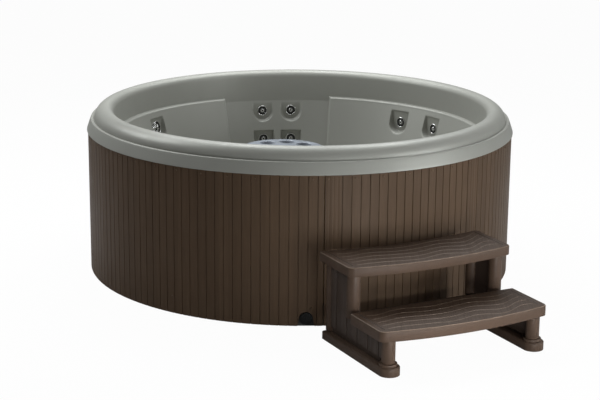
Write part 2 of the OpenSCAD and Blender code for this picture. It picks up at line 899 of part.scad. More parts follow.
module filter_housing() {
    color([0.45, 0.45, 0.43]) column_at() difference() {
        rotate_extrude() polygon([[0, well_h], [column_foot_r, well_h],
            [column_foot_r, well_h + column_foot_h], [column_r, well_h + column_foot_h * 2],
            [column_r, cone_z - neck_h], [neck_r, cone_z],
            [neck_r, column_top_z], [neck_r - column_wall, column_top_z], [neck_r - column_wall, cone_z],
            [column_r - column_wall, cone_z - neck_h], [column_r - column_wall, well_h + column_foot_h],
            [socket_r + column_wall, well_h + column_foot_h],
            [socket_r + column_wall, cartridge_z - seat_gap], [0, cartridge_z - seat_gap]]);
        translate([0, 0, well_h - over]) cylinder(h = cartridge_z, r = socket_r);
    }
}

module filter_cartridge() {
    body_z = cartridge_z;
    color([0.85, 0.87, 0.9]) column_at() {
        difference() {
            union() {
                translate([0, 0, body_z]) linear_extrude(cartridge_h)
                    polygon([for (i = [0:2 * pleat_n - 1]) let (a = i * half_turn / pleat_n,
                        r = cartridge_r - (i % 2) * pleat_d) [r * cos(a), r * sin(a)]]);
                for (z = [body_z, body_z + cartridge_h - cap_h]) translate([0, 0, z])
                    cylinder(h = cap_h, r = cartridge_r + over);
                translate([0, 0, well_h + column_foot_h])
                    cylinder(h = socket_h + over, r = socket_r - core_gap);
            }
            translate([0, 0, well_h]) cylinder(h = cartridge_h, r = socket_r * 0.7);
        }
        translate([0, 0, body_z + cartridge_h]) {
            cylinder(h = cap_h, r = cap_h);
            translate([-cap_h * 3, -cap_h / 2, cap_h]) cube([cap_h * 6, cap_h, cap_h / 2]);
        }
    }
}

module filter_lid() {
    color([0.55, 0.57, 0.6]) column_at() difference() {
        rotate_extrude() {
            polygon(concat([[0, lid_under_z], [lid_r - lid_t / 2, lid_under_z]],
                arc(lid_r - lid_t / 2, lid_under_z + lid_t / 2, lid_t / 2, -quarter, quarter, round_steps),
                [for (k = [1:4]) [(lid_r - lid_t / 2) * (1 - k / 4),
                    lid_under_z + lid_t + lid_dome * (1 - pow(1 - k / 4, 2))]]));
            translate([neck_r - column_wall * 2 - run_gap, lid_under_z - lid_lip_h])
                square([column_wall, lid_lip_h + over]);
        }
        for (k = [0:7]) rotate([0, 0, k * turn / 8 + quarter - lid_turn_deg])
            translate([lid_ring_r, 0, lid_under_z - over]) {
                cylinder(h = lid_t * 2, r = lid_hole_r);
                translate([0, 0, lid_t])
                    cylinder(h = lid_t / 2, r1 = lid_hole_r, r2 = lid_hole_r + lid_t / 3);
            }
    }
}

// Water pipes

function bay(x, y, z) = concat(polar_xy(x, y), [z]);
function polar_xy(x, y) = [x * sin(bay_deg) + y * cos(bay_deg), -x * cos(bay_deg) + y * sin(bay_deg)];

function elbow(t) = polar(well_r + suction_out, t);

// A point on the line under the floor, as a share of its length
function on_line(share) =
    let (a = [-column_left, 0], b = polar_xy(suction_turn[0], suction_turn[1]), p = a + share * (b - a))
    [p[0], p[1], under_z];

module suction_route(r) {
    run([[-column_left, 0, well_h - shell_t - seat_gap], [-column_left, 0, under_z],
        bay(suction_turn[0], suction_turn[1], under_z), bay(suction_turn[0], suction_turn[1], pump_z),
        bay(pump_x, volute_y - seat_gap, pump_z)], r);
    for (k = [0, 1]) {
        e = elbow(suction_deg[k]);
        run([[e[0], e[1], suction_z], [e[0], e[1], under_z], on_line(join_share[k])], r * branch_share);
    }
}

module suction_pipe() {
    color([0.85, 0.85, 0.83]) {
        suction_route(pipe_r);
        column_at() translate([0, 0, under_z]) cylinder(h = well_h - under_z - seat_gap, r = pipe_r);
        for (t = suction_deg) turned(t) {
            translate([well_r, 0, suction_z]) along_x() cylinder(h = suction_out, r = pipe_r);
            translate([well_r + suction_out, 0, suction_z]) sphere(r = pipe_r * joint_share);
        }
    }
}

module suction_covers() {
    color([0.35, 0.35, 0.34]) for (t = suction_deg) turned(t) translate([suction_x, 0, suction_z])
        along_x() difference() {
            rotate_extrude() polygon([[0, 0], [suction_r, 0], [suction_r, -suction_t / 3],
                [suction_r * 0.7, -suction_t], [0, -suction_t]]);
            translate([0, 0, -suction_t * 0.7]) cylinder(h = suction_t, r = suction_r * 0.6);
            for (k = [0:9]) rotate([0, 0, k * turn / 10])
                translate([suction_r * 0.36, 0, -suction_t * 2])
                    cylinder(h = suction_t * 3, r = suction_r / 12);
        }
}

module in_bay() {
    turned(bay_deg) children();
}

// A revolve drawn up +Z, laid along the bay's sideways direction
module along_bay(y) {
    in_bay() translate([pump_x, y, pump_z]) rotate([-quarter, 0, 0]) children();
}

module pump_volute() {
    color([0.12, 0.12, 0.13]) along_bay(volute_y) difference() {
        union() {
            cylinder(h = volute_l, r = volute_r);
            translate([0, 0, volute_l / 2]) rotate([quarter, 0, 0])
                cylinder(h = volute_r - volute_wall + pipe_r * 2, r = pipe_r);
            translate([-volute_r * 0.7, 0, 0]) cube([volute_r * 1.4, pump_z - pan_t, volute_l]);
        }
        translate([0, 0, volute_wall]) cylinder(h = volute_l - 2 * volute_wall, r = volute_r - volute_wall);
        translate([0, 0, -over]) cylinder(h = volute_wall * 2, r = pipe_r - barrel_wall);
        cylinder(h = volute_l + over, r = shaft_r + run_gap);
        translate([0, 0, volute_l / 2]) rotate([quarter, 0, 0])
            cylinder(h = volute_r + pipe_r * 3, r = pipe_r - barrel_wall);
    }
}

module pump_motor() {
    color([0.25, 0.26, 0.28]) along_bay(motor_y + seat_gap) difference() {
        union() {
            cylinder(h = motor_l, r = motor_r);
            translate([-motor_r * 0.6, 0, motor_l / 4]) cube([motor_r * 1.2, pump_z - pan_t, motor_l / 2]);
        }
        translate([0, 0, motor_wall]) cylinder(h = motor_l - motor_wall * 2, r = motor_r - motor_wall);
        translate([0, 0, -over]) cylinder(h = motor_wall * 2, r = shaft_r + run_gap);
        for (k = [0:17]) rotate([0, 0, (k + 0.5) * turn / 18]) translate([motor_r, 0, motor_wall * 3])
            cylinder(h = motor_l - motor_wall * 6, r = motor_wall / 2);
    }
}

module pump_rotor() {
    color([0.6, 0.6, 0.62]) along_bay(volute_y + volute_wall * 2) {
        cylinder(h = volute_l - volute_wall * 2 + motor_l - motor_wall * 4, r = shaft_r);
        cylinder(h = volute_wall, r = impeller_r);
        for (k = [0:5]) rotate([0, 0, k * turn / 6])
            translate([shaft_r - over, -volute_wall / 4, volute_wall - over])
                cube([impeller_r - shaft_r * 2, volute_wall / 2, volute_l / 3]);
        translate([0, 0, volute_l + motor_wall * 4]) cylinder(h = motor_l / 2, r = motor_r * 0.6);
    }
}

module heater_pipes() {
    outlet_z = pump_z + volute_r - volute_wall + pipe_r * 2 + seat_gap;
    top_z = outlet_z + pipe_r * 3 / 2;
    outlet_y = volute_y + volute_l / 2;
    end_y = heater_l / 2 + seat_gap;
    bend_y = end_y + pipe_r * 3 / 2;
    near = polar(manifold_r, manifold_deg[0] - manifold_turn_deg);
    man = polar(manifold_r, manifold_deg[0] - manifold_joint_deg);
    color([0.85, 0.85, 0.83]) {
        run([bay(pump_x, outlet_y, outlet_z), bay(pump_x, outlet_y, top_z), bay(heater_x, -bend_y, top_z),
            bay(heater_x, -bend_y, heater_z), bay(heater_x, -end_y, heater_z)], pipe_r);
        run([bay(heater_x, end_y, heater_z), bay(heater_x, bend_y, heater_z),
            [near[0], near[1], manifold_z], [man[0], man[1], manifold_z]], pipe_r);
    }
}

module heater_tube() {
    color([0.75, 0.75, 0.76]) in_bay() translate([heater_x, 0, heater_z])
        rotate([quarter, 0, 0]) difference() {
        union() {
            cylinder(h = heater_l, r = heater_r, center = true);
            for (s = [-1, 1]) translate([0, 0, s * (heater_l / 2 - stand_t)])
                cylinder(h = stand_t * 2, r = heater_r + heater_lip, center = true);
        }
        cylinder(h = heater_l - heater_wall * 2, r = heater_r - heater_wall, center = true);
    }
}

module pack_stand() {
    color([0.5, 0.5, 0.5]) in_bay() difference() {
        for (s = [-1, 1])
            translate([heater_x - stand_d / 2, s * (heater_l / 2 - stand_t * 5) - stand_t / 2, pan_t])
                cube([stand_d, stand_t, box_z - pan_t - seat_gap]);
        translate([heater_x, 0, heater_z]) rotate([quarter, 0, 0])
            cylinder(h = heater_l, r = heater_r + seat_gap, center = true);
    }
}

module control_box() {
    color([0.16, 0.16, 0.17]) in_bay() translate([heater_x - box_d / 2, -box_w / 2, box_z]) difference() {
        union() {
            cube([box_d, box_w, box_h]);
            translate([box_d, box_wall * 3, box_wall * 3])
                cube([box_wall, box_w - box_wall * 6, box_h - box_wall * 6]);
        }
        translate([box_wall, box_wall, box_wall])
            cube([box_d - box_wall * 2, box_w - box_wall * 2, box_h - box_wall * 2]);
    }
}

module power_gland() {
    nut_h = gland_l - gland_r - pan_wall_t - panel_t - barrel_wall;
    color([0.1, 0.1, 0.1]) turned(gland_deg) translate([frame_r - pan_wall_t, 0, gland_z])
        along_x() difference() {
            union() {
                translate([0, 0, -gland_r]) cylinder(h = gland_l, r = gland_r - barrel_wall);
                translate([0, 0, -gland_r / 2 - run_gap])
                    cylinder(h = gland_r / 2, r = gland_r + barrel_wall);
                translate([0, 0, pan_wall_t + panel_t + run_gap]) cylinder(h = nut_h, r = gland_r, $fn = 6);
            }
            translate([0, 0, -gland_r - over]) cylinder(h = gland_l + both_over, r = gland_bore_r);
        }
}

// Controls

module control_panel() {
    color([0.12, 0.12, 0.13]) turned(control_deg) translate([control_x, 0, control_z]) difference() {
        union() {
            translate([0, -control_w / 2, -control_h / 2]) cube([control_t, control_w, control_h]);
            translate([control_t / 2, -control_in_w / 2, -control_in_h / 2])
                cube([control_back + control_t / 2, control_in_w, control_in_h]);
        }
        for (k = [-1.5:1:1.5]) translate([-over, k * button_pitch, -control_h / 5]) along_x()
            cylinder(h = control_t + over, r = button_r + seat_gap);
        translate([-over, -control_w * 0.3, control_h * 0.12])
            cube([over + window_d, control_w * 0.6, control_h * 0.26]);
    }
}

module button(k) {
    color([0.75, 0.75, 0.76]) turned(control_deg)
        translate([control_x - button_out, k * button_pitch, control_z - control_h / 5]) along_x()
        cylinder(h = button_out + control_t - button_travel - seat_gap, r = button_r);
}

module jets_button() button(-1.5);
module light_button() button(-0.5);
module warm_button() button(0.5);
module cool_button() button(1.5);

module air_valve() {
    color([0.3, 0.3, 0.3]) turned(knob_deg) translate([wall_r, 0, knob_z]) along_x() difference() {
        union() {
            translate([0, 0, -knob_t / 2]) cylinder(h = valve_l + knob_t / 4, r = valve_r);
            translate([0, 0, -knob_t / 2]) cylinder(h = knob_t / 4, r = knob_r * 1.15);
        }
        translate([0, 0, -knob_t]) cylinder(h = valve_l, r = valve_r / 2);
    }
}

module air_knob() {
    color([0.5, 0.5, 0.5]) turned(knob_deg) translate([wall_r - knob_t / 2 - seat_gap, 0, knob_z])
        along_x() {
        difference() {
            translate([0, 0, -knob_t]) cylinder(h = knob_t, r = knob_r);
            for (k = [0:7]) rotate([0, 0, k * turn / 8]) translate([knob_r * 1.1, 0, -knob_t - over])
                cylinder(h = knob_t * 0.8, r = knob_r / 4);
        }
        cylinder(h = valve_l / 2, r = valve_r / 2 - seat_gap / 4);
    }
}

module light_lens() {
    color([0.85, 0.9, 0.95]) turned(light_deg) translate([light_x, 0, light_z]) along_x() {
        rotate_extrude() polygon([[0, 0], [light_r, 0], [light_r, -light_t / 3],
            [light_r * 0.7, -light_t * 0.8], [0, -light_t]]);
        cylinder(h = light_t * 3, r = light_r / 2 - seat_gap);
    }
}

// Drain

module drain_valve() {
    color([0.08, 0.08, 0.08]) turned(drain_deg) translate([frame_r, 0, drain_z]) along_x() {
        translate([0, 0, -valve_in]) cylinder(h = valve_in, r = valve_body_r);
        cylinder(h = cap_t - panel_t / 2, r = valve_body_r - barrel_wall);
    }
}

module drain_cap() {
    color([0.03, 0.03, 0.03]) turned(drain_deg) translate([frame_r + seat_gap, 0, drain_z])
        along_x() difference() {
            cylinder(h = cap_t, r = drain_cap_r);
            translate([0, 0, -over])
                cylinder(h = cap_t - panel_t / 3, r = valve_body_r - barrel_wall + thread_gap);
            for (k = [0:19]) rotate([0, 0, k * turn / 20]) translate([drain_cap_r, 0, -over])
                cylinder(h = cap_t + both_over, r = knurl_r);
        }
}

module drain_route(r) {
    a = polar(frame_r - valve_in - seat_gap, drain_deg);
    c = polar(frame_r - valve_in * 3 / 2, drain_deg);
    b = polar(floor_drain_r, floor_drain_deg);
    run([[a[0], a[1], drain_z], [c[0], c[1], drain_z], [b[0], b[1], drain_z], [b[0], b[1], well_h]], r);
}

module drain_hose() {
    color([0.6, 0.62, 0.6]) drain_route(hose_r);
}

// Steps: local x runs out from the tub, y along the treads, z up

module at_steps() {
    turned(step_deg) translate([tub_r + step_gap, step_side, 0]) children();
}

// A tread's plan: bowed long edges and rounded corners, drawn inset by e
function bow(y, w, b) = b * (1 - pow(2 * y / w, 2));

function tread_plan(w, back, front, back_bow, e) =
    let (h = w / 2 - e, c = corner_r - e, n = 16) concat(
        [for (i = [0:n]) let (y = -(h - c) + 2 * (h - c) * i / n) [back + e + bow(y, w, back_bow), y]],
        arc(back + e + c + bow(h - c, w, back_bow), h - c, c, half_turn, quarter, round_steps / 2),
        arc(front - e - c + bow(h - c, w, tread_bow), h - c, c, quarter, 0, round_steps / 2),
        [for (i = [n:-1:0]) let (y = -(h - c) + 2 * (h - c) * i / n) [front - e + bow(y, w, tread_bow), y]],
        arc(front - e - c + bow(h - c, w, tread_bow), -(h - c), c, 0, -quarter, round_steps / 2),
        arc(back + e + c + bow(h - c, w, back_bow), -(h - c), c, -quarter, -half_turn, round_steps / 2));

// One raised grain line along a tread
function grain(w, at, amp, phase) = [for (i = [0:grain_steps])
    let (s = i / grain_steps, y = (s - 0.5) * w)
    [at + amp * sin(turn * (1.5 * s) + phase) * (0.55 + 0.45 * s)
        + amp / 3 * sin(turn * 3.4 * s + 2 * phase), y]];

module grain_lines(w, back, front, back_bow, z) {
    depth = front - back;
    field_w = w - 2 * end_line_in - 6 * end_line_w;
    for (k = [1:grain_n]) {
        share = k / (grain_n + 1);
        line = grain(field_w, back + depth * share, depth / grain_n * grain_amp_share, k * grain_turn);
        pts = [for (p = line) [p[0] + bow(p[1], w, back_bow + (tread_bow - back_bow) * share), p[1]]];
        translate([0, 0, z - over]) linear_extrude(grain_h + over)
            polygon(concat(pts, [for (i = [grain_steps:-1:0]) [pts[i][0] + grain_w, pts[i][1]]]));
    }
}

// A closed, double-walled tread with a blind socket for each post that carries it
module tread(w, back, front, back_bow, z, skirt) {
    in_h = skirt - edge_h - tread_wall;
    color([0.3, 0.25, 0.22]) {
        difference() {
            union() {
                translate([0, 0, z - skirt]) linear_extrude(skirt - edge_h)
                    polygon(tread_plan(w, back, front, back_bow, 0));
                translate([0, 0, z - edge_h - over]) linear_extrude(edge_h / 2 + over)
                    polygon(tread_plan(w, back, front, back_bow, edge_in / 3));
                translate([0, 0, z - edge_h / 2 - over]) linear_extrude(edge_h / 2 + over)
                    polygon(tread_plan(w, back, front, back_bow, edge_in));
            }
            translate([0, 0, z - skirt + tread_wall]) linear_extrude(in_h - tread_wall) difference() {
                polygon(tread_plan(w, back, front, back_bow, tread_wall));
                at_posts() circle(r = step_post_r + socket_gap + tread_wall);
            }
            translate([0, 0, z - skirt - over]) linear_extrude(in_h + over)
                at_posts() circle(r = step_post_r + socket_gap);
            for (s = [-1, 1]) translate([back + corner_r * 0.8, s * (w / 2 - end_line_in), z - end_line_d])
                translate([0, -end_line_w / 2, 0])
                    cube([front - back - corner_r * 1.4, end_line_w, end_line_d + over]);
        }
        grain_lines(w, back, front, back_bow, z);
    }
}

module at_posts() {
    for (s = [-1, 1], d = [post_rear_d, post_back_d, post_front_d]) translate([d, s * rail_half]) children();
}

module upper_tread() {
    at_steps() tread(tread_w, 0, tread_d, tread_bow, tread_z, skirt_h);
}

module lower_tread() {
    at_steps() tread(low_tread_w, low_back_d, low_front_d, 0, low_tread_z, low_skirt_h);
}

// A side's outline in depth and height: tall between the upper posts, low under the lower tread
module side_outline() {
    under_z = tread_z - skirt_h - seat_gap;
    polygon([[post_rear_d, side_z], [post_front_d, side_z], [post_front_d, shoulder_z],
        [post_back_d, shoulder_z], [post_back_d, under_z], [post_rear_d, under_z]]);
}

// The side panel lies at -y; the right one is its mirror. A block inside it carries the upper front post.
module side_panel() {
    color([0.26, 0.22, 0.19]) at_steps() difference() {
        union() {
            translate([0, -side_face + side_t, 0]) rotate([quarter, 0, 0])
                linear_extrude(side_t) side_outline();
            translate([post_rear_d, -side_face + (side_t - web_t) / 2, rail_h + seat_gap])
                cube([post_front_d - post_rear_d - collar_r - seat_gap, web_t, side_z - rail_h]);
            translate([post_back_d - step_post_r, -side_face + side_t - over, side_z])
                cube([step_post_r * 2, block_t + over, shoulder_z - side_z]);
        }
        for (k = [0:side_groove_n - 1])
            translate([side_first_d + k * side_slat_w - groove_w / 2, -side_face - over, 0])
                cube([groove_w, groove_d + over, tread_z]);
        for (p = [[post_rear_d, 0], [post_back_d, shoulder_z], [post_front_d, 0]])
            translate([p[0], -rail_half, p[1]]) cylinder(h = tread_z, r = step_post_r + seat_gap);
        stretcher_screws(-1, screw_r + thread_gap);
    }
}

// The screws that hold the stretcher between the side panels
module stretcher_screws(s, r) {
    for (z = [side_z + stretcher_h / 3, side_z + stretcher_h * 2 / 3])
        translate([stretcher_d + stretcher_t / 2, s * (side_face - groove_d), z])
            rotate([s * quarter, 0, 0]) cylinder(h = side_t + stretcher_t, r = r);
}

module mirrored_steps() {
    at_steps() mirror([0, 1, 0]) translate([-tub_r - step_gap, -step_side, 0])
        rotate([0, 0, quarter - step_deg]) children();
}

module left_side_panel() side_panel();
module right_side_panel() mirrored_steps() side_panel();

// Each post: place, foot and the underside that it carries
module step_posts() {
    upper_z = tread_z - edge_h - tread_wall - seat_gap;
    lower_z = low_tread_z - edge_h - tread_wall - seat_gap;
    foot_z = rail_h + seat_gap;
    color([0.3, 0.25, 0.22]) at_steps() for (s = [-1, 1], p = [[post_rear_d, foot_z, upper_z],
        [post_back_d, shoulder_z + seat_gap, upper_z], [post_front_d, foot_z + collar_h, lower_z]])
        translate([p[0], s * rail_half, p[1]]) cylinder(h = p[2] - p[1], r = step_post_r);
}

module base_rail() {
    color([0.28, 0.23, 0.2]) at_steps() translate([0, -rail_half, 0]) {
        for (layer = [[0, rail_h - edge_h, 0], [rail_h - edge_h, edge_h / 2, edge_in / 3],
            [rail_h - edge_h / 2, edge_h / 2, edge_in]])
            translate([0, 0, layer[0]]) {
                translate([rail_back_d + layer[2], -rail_half_w + layer[2], 0])
                    cube([rail_front_d - rail_back_d - layer[2], 2 * (rail_half_w - layer[2]), layer[1]]);
                translate([rail_front_d, 0, 0]) cylinder(h = layer[1], r = rail_half_w - layer[2]);
            }
        translate([post_front_d, 0, rail_h - over]) cylinder(h = collar_h + over, r = collar_r);
    }
}

module left_base_rail() base_rail();
module right_base_rail() mirrored_steps() base_rail();

module back_stretcher() {
    half = side_face - side_t - seat_gap;
    color([0.26, 0.22, 0.19]) at_steps() difference() {
        translate([stretcher_d, -half, side_z]) cube([stretcher_t, 2 * half, stretcher_h]);
        for (s = [-1, 1]) stretcher_screws(s, screw_r + thread_gap);
    }
}

module step_screws() {
    color([0.5, 0.5, 0.5]) at_steps() for (s = [-1, 1]) stretcher_screws(s, screw_r);
}

shell();
base_pan();
well_cradle();
top_ring();
frame_posts();
insulation();
panel_front();
panel_right();
panel_back_right();
panel_back_left();
access_door();
panel_screws();
door_screws();
jet_rings();
large_jet_ring();
jet_bodies();
high_nozzle_right();
high_nozzle_left();
low_nozzle_right();
low_nozzle_left();
side_nozzle_near();
side_nozzle_far();
large_jet_face();
water_manifold();
jet_risers();
air_line();
filter_housing();
filter_cartridge();
filter_lid();
suction_covers();
suction_pipe();
pump_volute();
pump_motor();
pump_rotor();
heater_pipes();
heater_tube();
pack_stand();
control_box();
power_gland();
control_panel();
jets_button();
light_button();
warm_button();
cool_button();
air_valve();
air_knob();
light_lens();
drain_valve();
drain_cap();
drain_hose();
upper_tread();
lower_tread();
left_side_panel();
right_side_panel();
step_posts();
left_base_rail();
right_base_rail();
back_stretcher();
step_screws();
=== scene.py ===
import json
import math

import bmesh
import bpy
import numpy as np
from mathutils import Matrix, Vector

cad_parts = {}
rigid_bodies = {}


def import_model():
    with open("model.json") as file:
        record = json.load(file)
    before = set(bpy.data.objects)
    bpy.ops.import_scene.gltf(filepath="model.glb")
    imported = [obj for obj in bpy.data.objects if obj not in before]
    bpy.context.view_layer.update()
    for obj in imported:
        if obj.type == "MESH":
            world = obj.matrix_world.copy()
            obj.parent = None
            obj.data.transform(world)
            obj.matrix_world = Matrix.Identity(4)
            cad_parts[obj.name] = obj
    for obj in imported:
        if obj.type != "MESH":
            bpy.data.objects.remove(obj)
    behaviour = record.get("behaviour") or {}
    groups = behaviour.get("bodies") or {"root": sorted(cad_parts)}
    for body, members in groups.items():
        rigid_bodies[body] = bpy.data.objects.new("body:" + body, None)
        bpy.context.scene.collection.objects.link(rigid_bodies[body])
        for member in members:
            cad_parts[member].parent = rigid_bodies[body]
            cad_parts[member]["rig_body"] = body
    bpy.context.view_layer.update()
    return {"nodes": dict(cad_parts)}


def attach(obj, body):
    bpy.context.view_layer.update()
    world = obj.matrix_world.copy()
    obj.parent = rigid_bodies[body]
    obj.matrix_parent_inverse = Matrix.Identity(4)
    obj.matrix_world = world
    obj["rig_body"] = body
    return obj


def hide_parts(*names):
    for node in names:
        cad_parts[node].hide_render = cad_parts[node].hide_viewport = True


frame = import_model()
nodes = frame["nodes"]
bodyOf = {name: node["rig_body"] for name, node in nodes.items()}
mm = 0.001
print("frame loaded:", len(nodes), "nodes")


def smoothstep(low, high, x):
    t = np.clip((x - low) / (high - low), 0, 1)
    return t * t * (3 - 2 * t)


def arcPoints(cx, cy, r, start, stop, n):
    return [(cx + r * math.cos(math.radians(a)), cy + r * math.sin(math.radians(a)))
            for a in np.linspace(start, stop, n)]


# local x runs outwards from the axis at this angle, y towards larger angles
def turnedBy(deg, x=0.0, y=0.0, z=0.0):
    return Matrix.Rotation(math.radians(deg - 90), 4, "Z") @ Matrix.Translation((x * mm, y * mm, z * mm))


# local z runs outwards instead, for things drawn as a lathe
def facingIn(deg, x, z):
    return turnedBy(deg, x, 0, z) @ Matrix.Rotation(math.radians(90), 4, "Y")


def finishMesh(obj, sharpDeg=35):
    mesh = obj.data
    mesh.polygons.foreach_set("use_smooth", [True] * len(mesh.polygons))
    mesh.set_sharp_from_angle(angle=math.radians(sharpDeg))
    mesh.update()


def makePiece(name, points, faces, materials, place=None, sharpDeg=35, slots=None):
    mesh = bpy.data.meshes.new(name)
    mesh.from_pydata([tuple(p * mm for p in q) for q in points], [], faces)
    if place is not None:
        mesh.transform(place)
    for material in materials:
        mesh.materials.append(material)
    if slots is not None:
        mesh.polygons.foreach_set("material_index", slots)
    obj = bpy.data.objects.new(name, mesh)
    bpy.context.scene.collection.objects.link(obj)
    finishMesh(obj, sharpDeg)
    return obj


# closed solid of revolution from a closed outline of (radius, height) points; a radius of zero is a pole
def lathe(outline, steps):
    points, faces, rings = [], [], []
    for r, h in outline:
        if r < 1e-6:
            rings.append([len(points)])
            points.append((0, 0, h))
        else:
            rings.append(list(range(len(points), len(points) + steps)))
            points += [(r * math.cos(2 * math.pi * k / steps), r * math.sin(2 * math.pi * k / steps), h)
                       for k in range(steps)]
    for i, low in enumerate(rings):
        high = rings[(i + 1) % len(rings)]
        if len(low) == 1 and len(high) == 1:
            continue
        for k in range(steps):
            n = (k + 1) % steps
            if len(low) == 1:
                faces.append((low[0], high[k], high[n]))
            elif len(high) == 1:
                faces.append((low[n], low[k], high[0]))
            else:
                faces.append((low[k], high[k], high[n], low[n]))
    return points, faces


def outwards(obj):
    bm = bmesh.new()
    bm.from_mesh(obj.data)
    bmesh.ops.remove_doubles(bm, verts=bm.verts, dist=1e-6)
    bmesh.ops.recalc_face_normals(bm, faces=bm.faces)
    if bm.calc_volume(signed=True) < 0:
        bmesh.ops.reverse_faces(bm, faces=bm.faces)
    bm.to_mesh(obj.data)
    bm.free()
    return obj


def joinPieces(name, parts):
    bm = bmesh.new()
    slots = []
    for part in parts:
        start = len(bm.faces)
        bm.from_mesh(part.data)
        bm.faces.ensure_lookup_table()
        for f in bm.faces[start:]:
            material = part.data.materials[f.material_index]
            if material not in slots:
                slots.append(material)
            f.material_index = slots.index(material)
    mesh = bpy.data.meshes.new(name)
    bm.to_mesh(mesh)
    bm.free()
    for material in slots:
        mesh.materials.append(material)
    obj = bpy.data.objects.new(name, mesh)
    bpy.context.scene.collection.objects.link(obj)
    for part in parts:
        old = part.data
        bpy.data.objects.remove(part)
        bpy.data.meshes.remove(old)
    return obj


def baked(obj):
    bpy.context.view_layer.update()
    made = bpy.data.meshes.new_from_object(obj.evaluated_get(bpy.context.evaluated_depsgraph_get()))
    obj.modifiers.clear()
    old = obj.data
    obj.data = made
    if old.users == 0:
        bpy.data.meshes.remove(old)
    return obj


def cutWith(obj, tool):
    cut = obj.modifiers.new("openings", "BOOLEAN")
    cut.operation = "DIFFERENCE"
    cut.solver = "EXACT"
    cut.object = tool
    baked(obj)
    bpy.data.objects.remove(tool)


def standIn(obj, *names, slot=None):
    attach(obj, bodyOf[names[0]])
    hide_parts(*names)
    return obj


# a merged copy of a CAD node with its edges eased
def easedCopy(name, node, material, ease=1.2, slot=None, sharpDeg=35, edgeDeg=40, dissolveDeg=0.6):
    mesh = nodes[node].data.copy()
    mesh.name = name
    obj = bpy.data.objects.new(name, mesh)
    bpy.context.scene.collection.objects.link(obj)
    bm = bmesh.new()
    bm.from_mesh(mesh)
    bmesh.ops.remove_doubles(bm, verts=bm.verts, dist=2e-5)
    bmesh.ops.dissolve_limit(bm, angle_limit=math.radians(dissolveDeg), verts=bm.verts, edges=bm.edges)
    bm.to_mesh(mesh)
    bm.free()
    mesh.materials.clear()
    mesh.materials.append(material)
    if "custom_normal" in mesh.attributes:
        mesh.attributes.remove(mesh.attributes["custom_normal"])
    if ease:
        bevel = obj.modifiers.new("ease", "BEVEL")
        bevel.width = ease * mm
        bevel.segments = 2
        bevel.limit_method = "ANGLE"
        bevel.angle_limit = math.radians(edgeDeg)
        bevel.use_clamp_overlap = True
        baked(obj)
    finishMesh(obj, sharpDeg)
    return standIn(obj, node, slot=slot)


def srgb(r, g, b):
    def linear(c):
        c /= 255
        return c / 12.92 if c <= 0.04045 else ((c + 0.055) / 1.055) ** 2.4
    return (linear(r), linear(g), linear(b), 1)


class Graph:
    def __init__(self, tree):
        self.tree = tree

    def add(self, kind, inputs=None, **settings):
        node = self.tree.nodes.new(kind)
        for key, value in settings.items():
            setattr(node, key, value)
        for key, value in (inputs or {}).items():
            if isinstance(value, bpy.types.NodeSocket):
                self.tree.links.new(value, node.inputs[key])
            else:
                node.inputs[key].default_value = value
        return node

    def math(self, operation, a, b=0.0, clamp=False):
        node = self.add("ShaderNodeMath", {0: a, 1: b}, operation=operation)
        node.use_clamp = clamp
        return node.outputs[0]

    def mix(self, factor, a, b, blend="MIX"):
        node = self.add("ShaderNodeMix", data_type="RGBA", blend_type=blend)
        for socket, value in ((node.inputs[0], factor), (node.inputs[6], a), (node.inputs[7], b)):
            if isinstance(value, bpy.types.NodeSocket):
                self.tree.links.new(value, socket)
            else:
                socket.default_value = value
        return node.outputs[2]

    def span(self, value, fromLow, fromHigh, toLow, toHigh):
        return self.add("ShaderNodeMapRange", {"Value": value, "From Min": fromLow, "From Max": fromHigh,
                                               "To Min": toLow, "To Max": toHigh}).outputs[0]

    def noise(self, vector, scale, detail=3.0, roughness=0.5):
        return self.add("ShaderNodeTexNoise", {"Vector": vector, "Scale": scale, "Detail": detail,
                                               "Roughness": roughness}).outputs[0]


def newGroup(name, inputs, outputs):
    tree = bpy.data.node_groups.new(name, "ShaderNodeTree")
    for label, kind, value in inputs:
        socket = tree.interface.new_socket(name=label, in_out="INPUT", socket_type="NodeSocket" + kind)
        if value is not None:
            socket.default_value = value
    for label, kind in outputs:
        tree.interface.new_socket(name=label, in_out="OUTPUT", socket_type="NodeSocket" + kind)
    g = Graph(tree)
    return g, tree.nodes.new("NodeGroupInput").outputs, tree.nodes.new("NodeGroupOutput").inputs


# long fibres along one direction, as brushed into the mould of a resin board
def makeBoardGrain():
    g, given, gives = newGroup("boardGrain", [
        ("Vector", "Vector", None), ("Colour", "Color", (0.1, 0.08, 0.06, 1)),
        ("Dark", "Color", (0.05, 0.04, 0.03, 1)), ("Density", "Float", 260.0),
        ("Contrast", "Float", 0.5)],
        [("Colour", "Color"), ("Roughness", "Float"), ("Height", "Float")])
    warp = g.add("ShaderNodeTexNoise", {"Vector": given["Vector"], "Scale": 6.0, "Detail": 2.0})
    bent = g.add("ShaderNodeVectorMath", {0: warp.outputs[1], 1: (0.006, 0.006, 0.0)}, operation="MULTIPLY")
    moved = g.add("ShaderNodeVectorMath", {0: given["Vector"], 1: bent.outputs[0]},
                  operation="ADD").outputs[0]
    fibre = g.noise(moved, given["Density"], 4.0, 0.62)
    broad = g.noise(moved, g.math("MULTIPLY", given["Density"], 0.16), 2.0, 0.5)
    lines = g.span(g.math("ADD", g.math("MULTIPLY", fibre, 0.65), g.math("MULTIPLY", broad, 0.35)), 0.36,
                   0.66, 0.0, 1.0)
    shade = g.math("MULTIPLY", g.math("SUBTRACT", 1.0, lines), given["Contrast"])
    g.tree.links.new(g.mix(shade, given["Colour"], given["Dark"]), gives["Colour"])
    g.tree.links.new(g.span(lines, 0.0, 1.0, 0.56, 0.42), gives["Roughness"])
    g.tree.links.new(lines, gives["Height"])
    return g.tree


